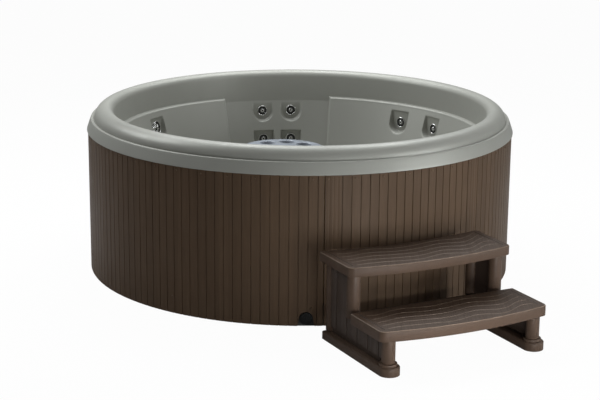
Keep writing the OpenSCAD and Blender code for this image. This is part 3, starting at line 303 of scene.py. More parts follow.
# dust that gathers low down and in patches, and the dull film of weather
def makeFilm():
    g, given, gives = newGroup("weatherFilm", [
        ("Vector", "Vector", None), ("Colour", "Color", (0.1, 0.1, 0.1, 1)),
        ("Dust", "Color", (0.35, 0.32, 0.28, 1)), ("Amount", "Float", 0.1),
        ("Reach", "Float", 0.12), ("Roughness", "Float", 0.5)],
        [("Colour", "Color"), ("Roughness", "Float")])
    height = g.add("ShaderNodeSeparateXYZ", {0: given["Vector"]}).outputs[2]
    low = g.math("SUBTRACT", 1.0, g.math("DIVIDE", height, given["Reach"]), clamp=True)
    patch = g.span(g.noise(given["Vector"], 9.0, 5.0, 0.62), 0.42, 0.7, 0.0, 1.0)
    grit = g.span(g.noise(given["Vector"], 420.0, 2.0), 0.45, 0.7, 0.4, 1.0)
    mask = g.math("MULTIPLY", g.math("MULTIPLY", g.math("ADD", patch, low), grit), given["Amount"],
                  clamp=True)
    g.tree.links.new(g.mix(mask, given["Colour"], given["Dust"]), gives["Colour"])
    g.tree.links.new(g.math("ADD", given["Roughness"], g.math("MULTIPLY", mask, 0.5), clamp=True),
                     gives["Roughness"])
    return g.tree


# fine pebbled skin of a moulded plastic part, with slow unevenness of tone
def makeSkin():
    g, given, gives = newGroup("mouldedSkin", [
        ("Vector", "Vector", None), ("Colour", "Color", (0.2, 0.2, 0.2, 1)),
        ("Tint", "Color", (0.16, 0.16, 0.16, 1)), ("Pebble", "Float", 500.0),
        ("Mottle", "Float", 0.25), ("Roughness", "Float", 0.35)],
        [("Colour", "Color"), ("Roughness", "Float"), ("Height", "Float")])
    pebble = g.add("ShaderNodeTexVoronoi", {"Vector": given["Vector"], "Scale": given["Pebble"]},
                   feature="SMOOTH_F1").outputs[0]
    fine = g.noise(given["Vector"], g.math("MULTIPLY", given["Pebble"], 0.5), 3.0)
    slow = g.span(g.noise(given["Vector"], 3.5, 4.0, 0.55), 0.35, 0.65, 0.0, 1.0)
    speck = g.span(fine, 0.4, 0.62, 0.0, 1.0)
    tone = g.math("MULTIPLY", g.math("ADD", g.math("MULTIPLY", slow, 0.6), g.math("MULTIPLY", speck, 0.4)),
                  given["Mottle"])
    g.tree.links.new(g.mix(tone, given["Colour"], given["Tint"]), gives["Colour"])
    uneven = g.math("MULTIPLY", g.math("SUBTRACT", slow, 0.5), 0.12)
    g.tree.links.new(g.math("ADD", given["Roughness"], uneven), gives["Roughness"])
    g.tree.links.new(g.math("ADD", g.math("MULTIPLY", pebble, 0.7), g.math("MULTIPLY", fine, 0.3)),
                     gives["Height"])
    return g.tree


boardGrain, weatherFilm, mouldedSkin = makeBoardGrain(), makeFilm(), makeSkin()


def newFinish(name):
    material = bpy.data.materials.new(name)
    material.use_nodes = True
    material.node_tree.nodes.clear()
    g = Graph(material.node_tree)
    shader = g.add("ShaderNodeBsdfPrincipled")
    out = g.add("ShaderNodeOutputMaterial", {"Surface": shader.outputs[0]})
    out.target = "ALL"
    place = g.add("ShaderNodeTexCoord").outputs["Object"]
    return material, g, shader, place


def link(g, output, shader, label):
    g.tree.links.new(output, shader.inputs[label])


def addBump(g, shader, height, strength, distance):
    bump = g.add("ShaderNodeBump", {"Height": height, "Strength": strength, "Distance": distance * mm})
    link(g, bump.outputs[0], shader, "Normal")


def useGroup(g, tree, inputs):
    node = g.add("ShaderNodeGroup")
    node.node_tree = tree
    for key, value in inputs.items():
        if isinstance(value, bpy.types.NodeSocket):
            g.tree.links.new(value, node.inputs[key])
        else:
            node.inputs[key].default_value = value
    return node.outputs


def skinFinish(name, colour, tint, roughness=0.35, pebble=500.0, mottle=0.25, bump=0.12, specular=0.5,
               dust=0.05, reach=0.1, dustColour=(122, 116, 106), coat=0.0, metallic=0.0, coatRoughness=0.15):
    material, g, shader, place = newFinish(name)
    skin = useGroup(g, mouldedSkin, {"Vector": place, "Colour": srgb(*colour), "Tint": srgb(*tint),
                                     "Pebble": pebble, "Mottle": mottle, "Roughness": roughness})
    film = useGroup(g, weatherFilm, {"Vector": place, "Colour": skin["Colour"], "Dust": srgb(*dustColour),
                                     "Amount": dust, "Reach": reach, "Roughness": skin["Roughness"]})
    link(g, film["Colour"], shader, "Base Color")
    link(g, film["Roughness"], shader, "Roughness")
    addBump(g, shader, skin["Height"], bump, 0.5)
    shader.inputs["Specular IOR Level"].default_value = specular
    shader.inputs["Metallic"].default_value = metallic
    shader.inputs["Coat Weight"].default_value = coat
    shader.inputs["Coat Roughness"].default_value = coatRoughness
    return material


def grainFinish(name, colour, dark, along, density=260.0, stretch=0.035, contrast=0.5, bump=0.25,
                specular=0.3, dust=0.05, reach=0.14, turn=0.0, pitch=None, paintedHighlight=None,
                dustColour=(122, 112, 98)):
    material, g, shader, place = newFinish(name)
    scale = [1.0, 1.0, 1.0]
    scale["xyz".index(along)] = stretch
    mapped = g.add("ShaderNodeMapping", {"Vector": place, "Rotation": (0, 0, math.radians(turn)),
                                         "Scale": tuple(scale)}, vector_type="POINT").outputs[0]
    base = srgb(*colour)
    if pitch:
        parts = g.add("ShaderNodeSeparateXYZ", {0: place}).outputs
        angle = g.math("ARCTAN2", parts[0], g.math("MULTIPLY", parts[1], -1.0))
        board = g.math("FLOOR", g.math("DIVIDE", g.math("SUBTRACT", angle, math.radians(pitch[0])),
                                       math.radians(pitch[1])))
        chance = g.add("ShaderNodeTexWhiteNoise", {"W": board}, noise_dimensions="1D").outputs[0]
        base = g.mix(g.span(chance, 0.0, 1.0, 0.0, 0.3), srgb(*colour), srgb(*dark))
    # lighter colour where the relief attribute is positive: a painted highlight along the crests of the
    # treads' raised lines and along their rounded top edges
    if paintedHighlight:
        relief = g.add("ShaderNodeAttribute", attribute_name="relief").outputs["Fac"]
        base = g.mix(g.span(relief, 0.3, 0.9, 0.0, 1.0), srgb(*colour), srgb(*paintedHighlight))
        # darker colour where the relief attribute is negative: painted shade in the grooves near the treads'
        # ends
        base = g.mix(g.span(relief, -0.1, -0.8, 0.0, 0.7), base, srgb(24, 20, 17))
    grain = useGroup(g, boardGrain, {"Vector": mapped, "Colour": base, "Dark": srgb(*dark),
                                     "Density": density, "Contrast": contrast})
    film = useGroup(g, weatherFilm, {"Vector": place, "Colour": grain["Colour"], "Dust": srgb(*dustColour),
                                     "Amount": dust, "Reach": reach, "Roughness": grain["Roughness"]})
    link(g, film["Colour"], shader, "Base Color")
    link(g, film["Roughness"], shader, "Roughness")
    addBump(g, shader, grain["Height"], bump, 0.6)
    shader.inputs["Specular IOR Level"].default_value = specular
    return material


def metalFinish(name, colour, roughness=0.12, smear=0.18, bump=0.03):
    material, g, shader, place = newFinish(name)
    smudge = g.noise(place, 60.0, 4.0, 0.6)
    scratch = g.noise(place, 900.0, 2.0, 0.5)
    link(g, g.mix(g.span(smudge, 0.4, 0.7, 0.0, 0.35), srgb(*colour), srgb(*(int(c * 0.8) for c in colour))),
         shader, "Base Color")
    link(g, g.math("ADD", roughness, g.math("MULTIPLY", g.span(smudge, 0.4, 0.75, 0.0, 1.0), smear)), shader,
         "Roughness")
    addBump(g, shader, scratch, bump, 0.2)
    shader.inputs["Metallic"].default_value = 1.0
    return material


stepDeg = 27.1
slatPitch = 360 / 156
doorTo = 47.177

shellFinish = skinFinish("shellPlastic", (153, 153, 146), (144, 144, 137), roughness=0.46, pebble=420.0,
                         mottle=0.3, bump=0.05, dust=0.02, reach=0.05, metallic=0.22, coat=0.05,
                         coatRoughness=0.3, specular=0.35)
slatFinish = grainFinish("slatResin", (88, 70, 54), (65, 51, 39), "z", density=300.0, stretch=0.03,
                         contrast=0.45, pitch=(doorTo, slatPitch), specular=0.1)
stepFinish = grainFinish("stepResin", (78, 61, 49), (60, 47, 38), "y", density=240.0, stretch=0.05,
                         contrast=0.4, bump=0.15, turn=90 - stepDeg, specular=0.2, paintedHighlight=(168, 148, 130))
# a darker copy of stepResin with upright grain: painted shade on the side panels and the back stretcher
shadedStepFinish = grainFinish("shadedStepResin", (66, 53, 45), (47, 38, 32), "z", density=240.0, stretch=0.05,
                             contrast=0.4, specular=0.3)
chromeFinish = metalFinish("jetChrome", (214, 214, 212))
nozzleFinish = skinFinish("nozzlePlastic", (70, 70, 69), (52, 52, 51), roughness=0.28, bump=0.04, coat=0.3)
lidFinish = skinFinish("lidPlastic", (150, 156, 166), (136, 142, 152), roughness=0.22, bump=0.03, coat=0.4,
                       mottle=0.3)
columnFinish = skinFinish("columnPlastic", (124, 124, 120), (108, 108, 104), roughness=0.4)
paperFinish = skinFinish("filterPaper", (222, 226, 228), (196, 202, 206), roughness=0.8, pebble=700.0,
                         mottle=0.5, bump=0.3, specular=0.2)
blackFinish = skinFinish("blackPlastic", (17, 17, 17), (12, 12, 12), roughness=0.5, bump=0.15, dust=0.03,
                         specular=0.2)
panFinish = skinFinish("basePan", (44, 43, 42), (34, 33, 32), roughness=0.6, bump=0.25, dust=0.2, reach=0.2)
pipeFinish = skinFinish("pipePlastic", (214, 213, 207), (196, 194, 186), roughness=0.35, bump=0.04, dust=0.08)
tubeFinish = skinFinish("airTube", (176, 184, 190), (154, 162, 170), roughness=0.25, bump=0.05, dust=0.08)
foilFinish = metalFinish("foilWrap", (196, 198, 202), roughness=0.34, smear=0.2, bump=0.5)
motorFinish = skinFinish("motorPaint", (62, 66, 74), (48, 51, 58), roughness=0.42, bump=0.12, dust=0.14,
                         reach=0.2)
steelFinish = metalFinish("steel", (176, 176, 174), roughness=0.28, smear=0.2, bump=0.08)
screwFinish = metalFinish("screwCoat", (104, 88, 72), roughness=0.4, smear=0.2, bump=0.08)
keyFinish = skinFinish("keyRubber", (196, 197, 198), (182, 183, 184), roughness=0.55, bump=0.08)
controlFinish = skinFinish("controlPlastic", (40, 41, 43), (32, 33, 35), roughness=0.3, bump=0.05, coat=0.3)
coverFinish = skinFinish("coverPlastic", (96, 96, 93), (82, 82, 79), roughness=0.4, bump=0.08)
knobFinish = skinFinish("knobPlastic", (128, 128, 124), (114, 114, 110), roughness=0.35, bump=0.06, coat=0.2)
timberFinish = grainFinish("frameTimber", (176, 148, 108), (126, 98, 66), "z", density=90.0, stretch=0.05,
                           contrast=0.7, specular=0.25)
ringTimberFinish = grainFinish("ringTimber", (178, 150, 110), (134, 106, 72), "z", density=70.0, stretch=1.6,
                               contrast=0.7, specular=0.25)


def lensFinish():
    material, g, shader, place = newFinish("lightLens")
    ribs = g.noise(place, 180.0, 2.0)
    link(g, g.mix(g.span(ribs, 0.35, 0.65, 0.0, 1.0), srgb(214, 226, 234), srgb(190, 206, 218)), shader,
         "Base Color")
    link(g, g.span(ribs, 0.3, 0.7, 0.06, 0.2), shader, "Roughness")
    addBump(g, shader, ribs, 0.3, 0.4)
    shader.inputs["IOR"].default_value = 1.49
    shader.inputs["Transmission Weight"].default_value = 0.35
    return material


lensGlass = lensFinish()
print("finishes made")


# the moulded shell: one skin whose radius is given for every angle and height
shell = dict(lipRadius=967, rimHeight=740, lipZ=637, bandHeight=52, bandLean=18, crownIn=89, rollOuter=56,
             rollInner=32, thickness=8, wallLean=6, creaseZ=590, padTop=612, recline=88, seatZ=300,
             wellRadius=445, wellZ=95, wellRound=40, noseRound=36, backRound=60, padThick=25, padNose=11,
             pads=[(97, 170), (206.6, 279.6)], padEdge=13, pocketWidth=106, lipSoft=8.5)
# places of the skin's rows where it is plain, and columns round the pockets and the pads' edges
shellMesh = dict(floorRows=(70, 200, 300, 370), wellRows=(165, 200, 235), seatRows=(520, 570, 610, 640),
                 wallRows=(615.5, 622, 640, 665, 690), backRows=(690, 660, 630, 605), creaseRows=(594.5, 598),
                 leanFrom=342.5, leanRows=73, noseDegs=(14, 28, 42, 56, 72, 88),
                 padTopShares=(0.35, 0.8, 0.94, 1.0), pocketHalf=4.3, pocketStep=0.25, padHalf=1.4,
                 padStep=0.28, plainStep=1.8)
# distance outwards and height against the roll's foot, the band's top edge and the band's lower edge
bandRows = dict(groove=[(0.1, -1.8), (1.3, -1.8), (2.6, -0.5), (4.5, 0)],
                edge=[(-3.2, 0), (-1.4, -0.35), (-0.2, -1.3), (0.7, -3.0)],
                lip=[(-0.9, 3.0), (-0.6, 1.0), (-1.8, 0)])
# angle, jet height, distance of the pocket's floor, height of its straight part
pockets = [(183.3, 540, 836, 44), (193.3, 540, 836, 44), (183.3, 400, 809, 46), (193.3, 400, 809, 46),
           (142, 521, 818, 59), (127, 521, 818, 59), (239, 521, 818, 59)]
crownR = shell["lipRadius"] - shell["crownIn"]
rollZ = shell["rimHeight"] - shell["rollInner"]
outerRollZ = shell["rimHeight"] - shell["rollOuter"]
wallR = crownR - shell["rollInner"]
creaseR = wallR - shell["wallLean"]
slope = shell["recline"] / (shell["creaseZ"] - shell["seatZ"])
leanDeg = math.degrees(math.atan(slope))
backLean = math.radians(leanDeg)
footR = creaseR - shell["recline"] - shell["backRound"] * (1 - math.sin(backLean)) / math.cos(backLean)


def shellColumns():
    m = shellMesh
    marks = set()
    fine = [(jet[0], m["pocketHalf"], m["pocketStep"]) for jet in pockets]
    fine += [(edge, m["padHalf"], m["padStep"]) for pad in shell["pads"] for edge in pad]
    for middle, half, step in fine:
        marks |= {round(middle + k * step, 4) for k in range(-round(half / step), round(half / step) + 1)}
    for k in range(round(360 / m["plainStep"])):
        t = k * m["plainStep"]
        if all(abs(t - middle) > half + 0.6 for middle, half, step in fine):
            marks.add(t)
    return np.array(sorted(marks))


def padMask(t):
    mask = np.zeros_like(t)
    width = math.degrees(shell["padEdge"] / 820)
    for start, stop in shell["pads"]:
        mask = np.maximum(mask, smoothstep(start, start + width, t) * smoothstep(-stop, -stop + width, -t))
    return mask


def wallAt(z):
    return creaseR + shell["wallLean"] * (z - shell["creaseZ"]) / (rollZ - shell["creaseZ"])


# radius of the inner face between the seat's rounding and the pads' tops
# grow is the distance behind that face
def innerRadius(t, z, grow):
    bare = np.where(z < shell["creaseZ"], creaseR - (shell["creaseZ"] - z) * slope, wallAt(z)) + grow
    nose = shell["padTop"] - shell["padNose"]
    face = creaseR - shell["padThick"] - (shell["creaseZ"] - np.minimum(z, nose)) * slope
    up = np.clip(z - nose, 0, shell["padNose"])
    face = face + shell["padNose"] - np.sqrt(shell["padNose"] ** 2 - up ** 2)
    radius = bare if grow else bare + (face - bare) * padMask(t)
    half = shell["pocketWidth"] / 2 + grow
    for middle, jetZ, floor, straight in pockets:
        angle = np.radians(t - middle)
        near = np.abs(angle) < 0.12
        across = np.where(near, radius * np.sin(angle), 9999)
        rise = z - jetZ
        inside = np.where(rise > 0, np.minimum(half - np.abs(across), straight + grow - rise),
                          half - np.hypot(across, rise))
        depth = np.where(near, (floor + grow) / np.cos(np.where(near, angle, 0)), 0)
        gap = depth - radius
        sunk = radius + 0.5 * (gap + np.sqrt(gap ** 2 + 9.0)) - 1.2
        soft = smoothstep(0, shell["lipSoft"], inside)
        radius = np.where(inside > 0, radius + (np.maximum(sunk, radius) - radius) * soft, radius)
    return radius


def shellRows(t):
    s, m = shell, shellMesh
    rows = []

    def level(r, z):
        rows.append((np.full_like(t, r), np.full_like(t, z)))

    for r in m["floorRows"]:
        level(r, s["wellZ"])
    for r, z in arcPoints(s["wellRadius"] - s["wellRound"], s["wellZ"] + s["wellRound"], s["wellRound"], -90,
                          0, 8):
        level(r, z)
    for z in m["wellRows"]:
        level(s["wellRadius"], z)
    for r, z in arcPoints(s["wellRadius"] + s["noseRound"], s["seatZ"] - s["noseRound"], s["noseRound"], 180,
                          90, 9):
        level(r, z)
    for r in m["seatRows"]:
        level(r, s["seatZ"])
    shift = s["padThick"] * padMask(t)
    for r, z in arcPoints(footR, s["seatZ"] + s["backRound"], s["backRound"], -90, -leanDeg, 10):
        rows.append((r - shift, np.full_like(t, z)))
    nose = s["padTop"] - s["padNose"]
    leaning = list(np.linspace(m["leanFrom"], s["creaseZ"] - 1.2, m["leanRows"])[1:])
    for z in leaning + [s["creaseZ"] + 1.2, *m["creaseRows"], nose]:
        rows.append((innerRadius(t, np.full_like(t, z), 0.0), np.full_like(t, z)))
    for a in m["noseDegs"]:
        z = nose + s["padNose"] * math.sin(math.radians(a))
        rows.append((innerRadius(t, np.full_like(t, z), 0.0), np.full_like(t, z)))
    top = innerRadius(t, np.full_like(t, s["padTop"] - 0.001), 0.0)
    for k, share in enumerate(m["padTopShares"]):
        z = s["padTop"] + 0.35 * k
        rows.append((top + (wallAt(z) - top) * share, np.full_like(t, z)))
    for z in m["wallRows"]:
        level(wallAt(z), z)
    for r, z in arcPoints(crownR, rollZ, s["rollInner"], 180, 90, 10):
        level(r, z)
    # the roll runs down into a shallow groove, then a narrow ledge leads out to the band's rounded edge
    joinZ = s["lipZ"] + s["bandHeight"]
    stopDeg = math.degrees(math.asin((joinZ + 0.4 - outerRollZ) / s["rollOuter"]))
    for r, z in arcPoints(crownR, outerRollZ, s["rollOuter"], 90, stopDeg, 16)[1:]:
        level(r, z)
    rollFootR = crownR + s["rollOuter"] * math.cos(math.radians(stopDeg))
    edgeR = s["lipRadius"] - s["bandLean"]
    for out, up in bandRows["groove"]:
        level(rollFootR + out, joinZ + up)
    for out, up in bandRows["edge"]:
        level(edgeR + out, joinZ + up)
    for share in (0.25, 0.5, 0.75):
        level(edgeR + s["bandLean"] * share, joinZ - s["bandHeight"] * share)
    for out, up in bandRows["lip"]:
        level(s["lipRadius"] + out, s["lipZ"] + up)
    level(s["lipRadius"] - s["thickness"] + 0.5, s["lipZ"])
    e = s["thickness"]
    level(s["lipRadius"] - e - s["bandLean"] * 0.5, s["lipZ"] + s["bandHeight"] * 0.5)
    level(edgeR - e, joinZ - e)
    for r, z in arcPoints(crownR, outerRollZ, s["rollOuter"] - e, -3.4, 90, 10):
        level(r, z)
    for r, z in arcPoints(crownR, rollZ, s["rollInner"] - e, 100, 180, 6):
        level(r, z)
    for z in m["backRows"]:
        level(wallAt(z) + e, z)
    for z in np.linspace(s["creaseZ"], 345, 32):
        rows.append((innerRadius(t, np.full_like(t, z), float(e)), np.full_like(t, z)))
    for r, z in arcPoints(footR, s["seatZ"] + s["backRound"], s["backRound"] + e, -leanDeg - 3, -90, 6):
        level(r, z)
    level(560, s["seatZ"] - e)
    for r, z in arcPoints(s["wellRadius"] + s["noseRound"], s["seatZ"] - s["noseRound"], s["noseRound"] - e,
                          90, 180, 5):
        level(r, z)
    level(s["wellRadius"] + e, 200)
    for r, z in arcPoints(s["wellRadius"] - s["wellRound"], s["wellZ"] + s["wellRound"], s["wellRound"] + e,
                          0, -90, 6):
        level(r, z)
    level(200, s["wellZ"] - e)
    return rows


# holes cut through the skin: angle, distance, height, radius, half length, and whether it looks inwards
jetHoles = dict(radius=20.3, largeRadius=35.3, half=30)
shellHoles = dict(airKnob=(22, 846, 662, 15.3, 20, True), suctionNear=(12, 445, 175, 20.3, 22, True),
                  suctionFar=(42, 445, 175, 20.3, 22, True), light=(300, 445, 190, 19, 16, True),
                  column=(-90, 77, 95, 20.3, 20, False), drain=(-20, 335, 95, 9.3, 20, False))
controlSlot = dict(deg=-16, x=846, z=662, deep=34, wide=108, high=40.32)


def makeShell():
    t = shellColumns()
    rows = shellRows(t)
    n = len(t)
    sine, cosine = np.sin(np.radians(t)), np.cos(np.radians(t))
    points = [(0, 0, shell["wellZ"])]
    for r, z in rows:
        points += list(zip(r * sine, -r * cosine, z))
    points.append((0, 0, shell["wellZ"] - shell["thickness"]))
    faces = []
    last = len(points) - 1
    for k in range(n):
        m = (k + 1) % n
        faces.append((0, 1 + k, 1 + m))
        for i in range(len(rows) - 1):
            a, b = 1 + i * n, 1 + (i + 1) * n
            faces.append((a + k, b + k, b + m, a + m))
        a = 1 + (len(rows) - 1) * n
        faces.append((a + m, a + k, last))
    skin = makePiece("shellSkin", points, faces, [shellFinish], sharpDeg=60)
    outwards(skin)
    cutters = []

    def drill(deg, x, z, radius, half, turned=True):
        pts, sides = lathe([(0, -half), (radius, -half), (radius, half), (0, half)], 48)
        cutters.append(makePiece("cutter", pts, sides, [shellFinish],
                                 facingIn(deg, x, z) if turned else turnedBy(deg, x, 0, z)))

    for index, (deg, jetZ, floor, straight) in enumerate(pockets):
        drill(deg, floor, jetZ, jetHoles["largeRadius" if index == 6 else "radius"], jetHoles["half"])
    for hole in shellHoles.values():
        drill(*hole)
    slotBox = bpy.data.meshes.new("cutter")
    bm = bmesh.new()
    bmesh.ops.create_cube(bm, size=1.0)
    c = controlSlot
    bmesh.ops.scale(bm, vec=(c["deep"] * mm, c["wide"] * mm, c["high"] * mm), verts=bm.verts)
    bmesh.ops.transform(bm, matrix=turnedBy(c["deg"], c["x"], 0, c["z"]), verts=bm.verts)
    bm.to_mesh(slotBox)
    bm.free()
    slotBox.materials.append(shellFinish)
    opening = bpy.data.objects.new("cutter", slotBox)
    bpy.context.scene.collection.objects.link(opening)
    cutters.append(opening)
    for cutter in cutters:
        outwards(cutter)
    cutWith(skin, joinPieces("shellCutters", cutters))
    finishMesh(skin, 50)
    return standIn(skin, "shell", slot="shell")


shellSkin = makeShell()
print("shell made:", len(shellSkin.data.polygons), "faces")


jetSizes = dict(ring=26, hole=20.3, ringThick=5, nozzle=16, bore=4, depth=8.667, largeRing=40, largeHole=35.3,
                largeFace=31)


def ringOutline(outer, hole, thick):
    wide = outer - hole
    crest = [(outer - wide * 0.45 + (x - outer + wide * 0.42) * wide * 0.45,
              -thick * 0.42 + (y + thick * 0.5) * thick * 0.58)
             for x, y in arcPoints(outer - wide * 0.42, -thick * 0.5, 1, 0, -180, 9)]
    return [(hole, 0.0), (outer - 0.4, 0.0), (outer, -0.5)] + crest + [(hole + 0.15, -thick * 0.3)]


def jetRings():
    rings = []
    for deg, jetZ, floor, straight in pockets[:6]:
        pts, sides = lathe(ringOutline(jetSizes["ring"], jetSizes["hole"], jetSizes["ringThick"]), 56)
        rings.append(outwards(makePiece("ring", pts, sides, [chromeFinish], facingIn(deg, floor, jetZ), 50)))
    small = joinPieces("jetRingSet", rings)
    finishMesh(small, 50)
    standIn(small, "jet_rings", slot="chrome")
    deg, jetZ, floor, straight = pockets[6]
    pts, sides = lathe(ringOutline(jetSizes["largeRing"], jetSizes["largeHole"], jetSizes["ringThick"]), 72)
    large = outwards(makePiece("largeJetRing", pts, sides, [chromeFinish], facingIn(deg, floor, jetZ), 50))
    finishMesh(large, 50)
    standIn(large, "large_jet_ring", slot="chrome")


# a turning face: polar rows whose height and rim follow notches, lobes and the raised eye
def polarPiece(name, profile, steps, shape, materials, place, slotOf):
    points, faces, slots = [], [], []
    count = len(profile)
    for r, h in profile:
        for k in range(steps):
            a = 2 * math.pi * k / steps
            rr, hh = shape(r, h, a)
            points.append((rr * math.cos(a), rr * math.sin(a), hh))
    for i in range(count):
        j = (i + 1) % count
        for k in range(steps):
            n = (k + 1) % steps
            faces.append((i * steps + k, j * steps + k, j * steps + n, i * steps + n))
            slots.append(slotOf(i))
    piece = makePiece(name, points, faces, materials, place, 45, slots)
    outwards(piece)
    finishMesh(piece, 45)
    return piece


def smallNozzle(name, node, jet):
    deg, jetZ, floor, straight = jet
    r, bore, deep = jetSizes["nozzle"], jetSizes["bore"], jetSizes["depth"]
    profile = [(bore, deep), (bore, 0.0), (bore + 0.3, -4.4), (bore + 1.0, -5.0), (7.2, -5.0), (8.0, -4.6),
               (9.2, -2.7), (9.9, -2.5), (11.8, -2.4), (13.0, -2.5), (13.6, -2.5), (14.7, -2.0), (15.6, -0.9),
               (r, 0.2), (r, deep)]

    def shape(rr, h, a):
        notch = max(0.0, math.cos(3 * a)) ** 14
        if rr > 13.2:
            rr -= 2.0 * notch * (1 if h < 4 else 0)
        return rr, h

    piece = polarPiece(name, profile, 72, shape, [nozzleFinish, chromeFinish], facingIn(deg, floor, jetZ),
                       lambda i: 1 if 2 <= i <= 5 else 0)
    standIn(piece, node, slot="nozzle")


def largeFace():
    deg, jetZ, floor, straight = pockets[6]
    rimR, deep = jetSizes["largeFace"], jetSizes["depth"]
    profile = [(7.75, deep), (7.75, -5.2), (8.4, -6.8), (9.6, -7.7), (11.9, -8.0), (13.2, -7.8), (15.0, -7.2),
               (17.0, -6.7), (19.0, -6.3), (21.0, -5.9), (23.0, -5.5), (25.0, -5.0), (27.2, -3.9),
               (29.0, -2.5), (30.3, -1.0), (rimR, 0.5), (rimR, deep)]

    def shape(rr, h, a):
        lobe = 0.5 + 0.5 * math.cos(6 * a)
        if 14 < rr < 29.5 and h < 1:
            reach = math.sin(math.pi * (rr - 14) / 15.5)
            h += 5.2 * (1 - lobe) ** 2 * reach
        if rr > 29.4 and h < 1:
            rr -= 2.2 * (1 - lobe) ** 3
        return rr, h

    piece = polarPiece("largeJetWheel", profile, 120, shape, [chromeFinish], facingIn(deg, floor, jetZ),
                       lambda i: 0)
    standIn(piece, "large_jet_face", slot="chrome")


jetRings()
for name, node, index in (("highNozzleRight", "high_nozzle_right", 0),
                          ("highNozzleLeft", "high_nozzle_left", 1),
                          ("lowNozzleRight", "low_nozzle_right", 2), ("lowNozzleLeft", "low_nozzle_left", 3),
                          ("sideNozzleFar", "side_nozzle_far", 4), ("sideNozzleNear", "side_nozzle_near", 5)):
    smallNozzle(name, node, pockets[index])
largeFace()
print("jets made")


steps = dict(gap=28, side=-46, cornerRadius=30, backCorner=9, bow=42, edge=5.5, foot=1.5, lineIn=27,
             lineWidth=4, lineDepth=2.0, grainCount=5, grainHeight=1.2, grainWidth=4.0, paintedEdgeHighlight=0.6,
             cellIn=1.3, cellAlong=4.5, postOut=328, socket=29, socketTop=9)
stepPlace = turnedBy(stepDeg, 962 + steps["gap"], steps["side"], 0)


def treadSide(y, width, edge, bow, inset, sign):
    half, corner = width / 2 - inset, steps["cornerRadius" if sign > 0 else "backCorner"] - inset
    straight = half - corner
    arch = lambda v: bow * (1 - (2 * v / width) ** 2)
    near = np.abs(y) <= straight
    plain = edge - sign * inset + arch(y)
    middle = edge - sign * (inset + corner) + arch(straight)
    over = np.clip(np.abs(y) - straight, 0, corner)
    return np.where(near, plain, middle + sign * np.sqrt(np.maximum(corner ** 2 - over ** 2, 0)))


# shares of the raised wavy lines' full height, and of the full depth of the groove near each end
def treadRelief(x, y, width, back, front, backBow):
    s = steps
    depth = front - back
    field = width - 2 * s["lineIn"] - 24
    share = y / field + 0.5
    ridge = np.zeros_like(x)
    for k in range(1, s["grainCount"] + 1):
        at = k / (s["grainCount"] + 1)
        amp = depth / s["grainCount"] * 0.3
        phase = np.radians(k * 23)
        line = (back + depth * at + amp * np.sin(2 * np.pi * 2.6 * share + phase) * (0.7 + 0.3 * share)
                + amp / 3 * np.sin(2 * np.pi * 3.4 * share + 2 * phase))
        bow = backBow + (s["bow"] - backBow) * at
        line = line + bow * (1 - (2 * y / width) ** 2) + s["grainWidth"] / 2
        away = np.clip(np.abs(x - line) / (s["grainWidth"] / 2), 0, 1)
        ridge = np.maximum(ridge, np.cos(away * np.pi / 2) ** 1.5)
    ridge = ridge * smoothstep(0.0, 0.012, share) * smoothstep(-1.0, -0.988, -share)
    ends = np.abs(np.abs(y) - (width / 2 - s["lineIn"]))
    middleOf = (back + front) / 2 + backBow * 0.1
    inRange = smoothstep(-(depth / 2 - 22), -(depth / 2 - 26), -np.abs(x - middleOf))
    groove = smoothstep(-s["lineWidth"] * 0.72, -s["lineWidth"] * 0.25, -ends) * inRange
    return ridge, groove


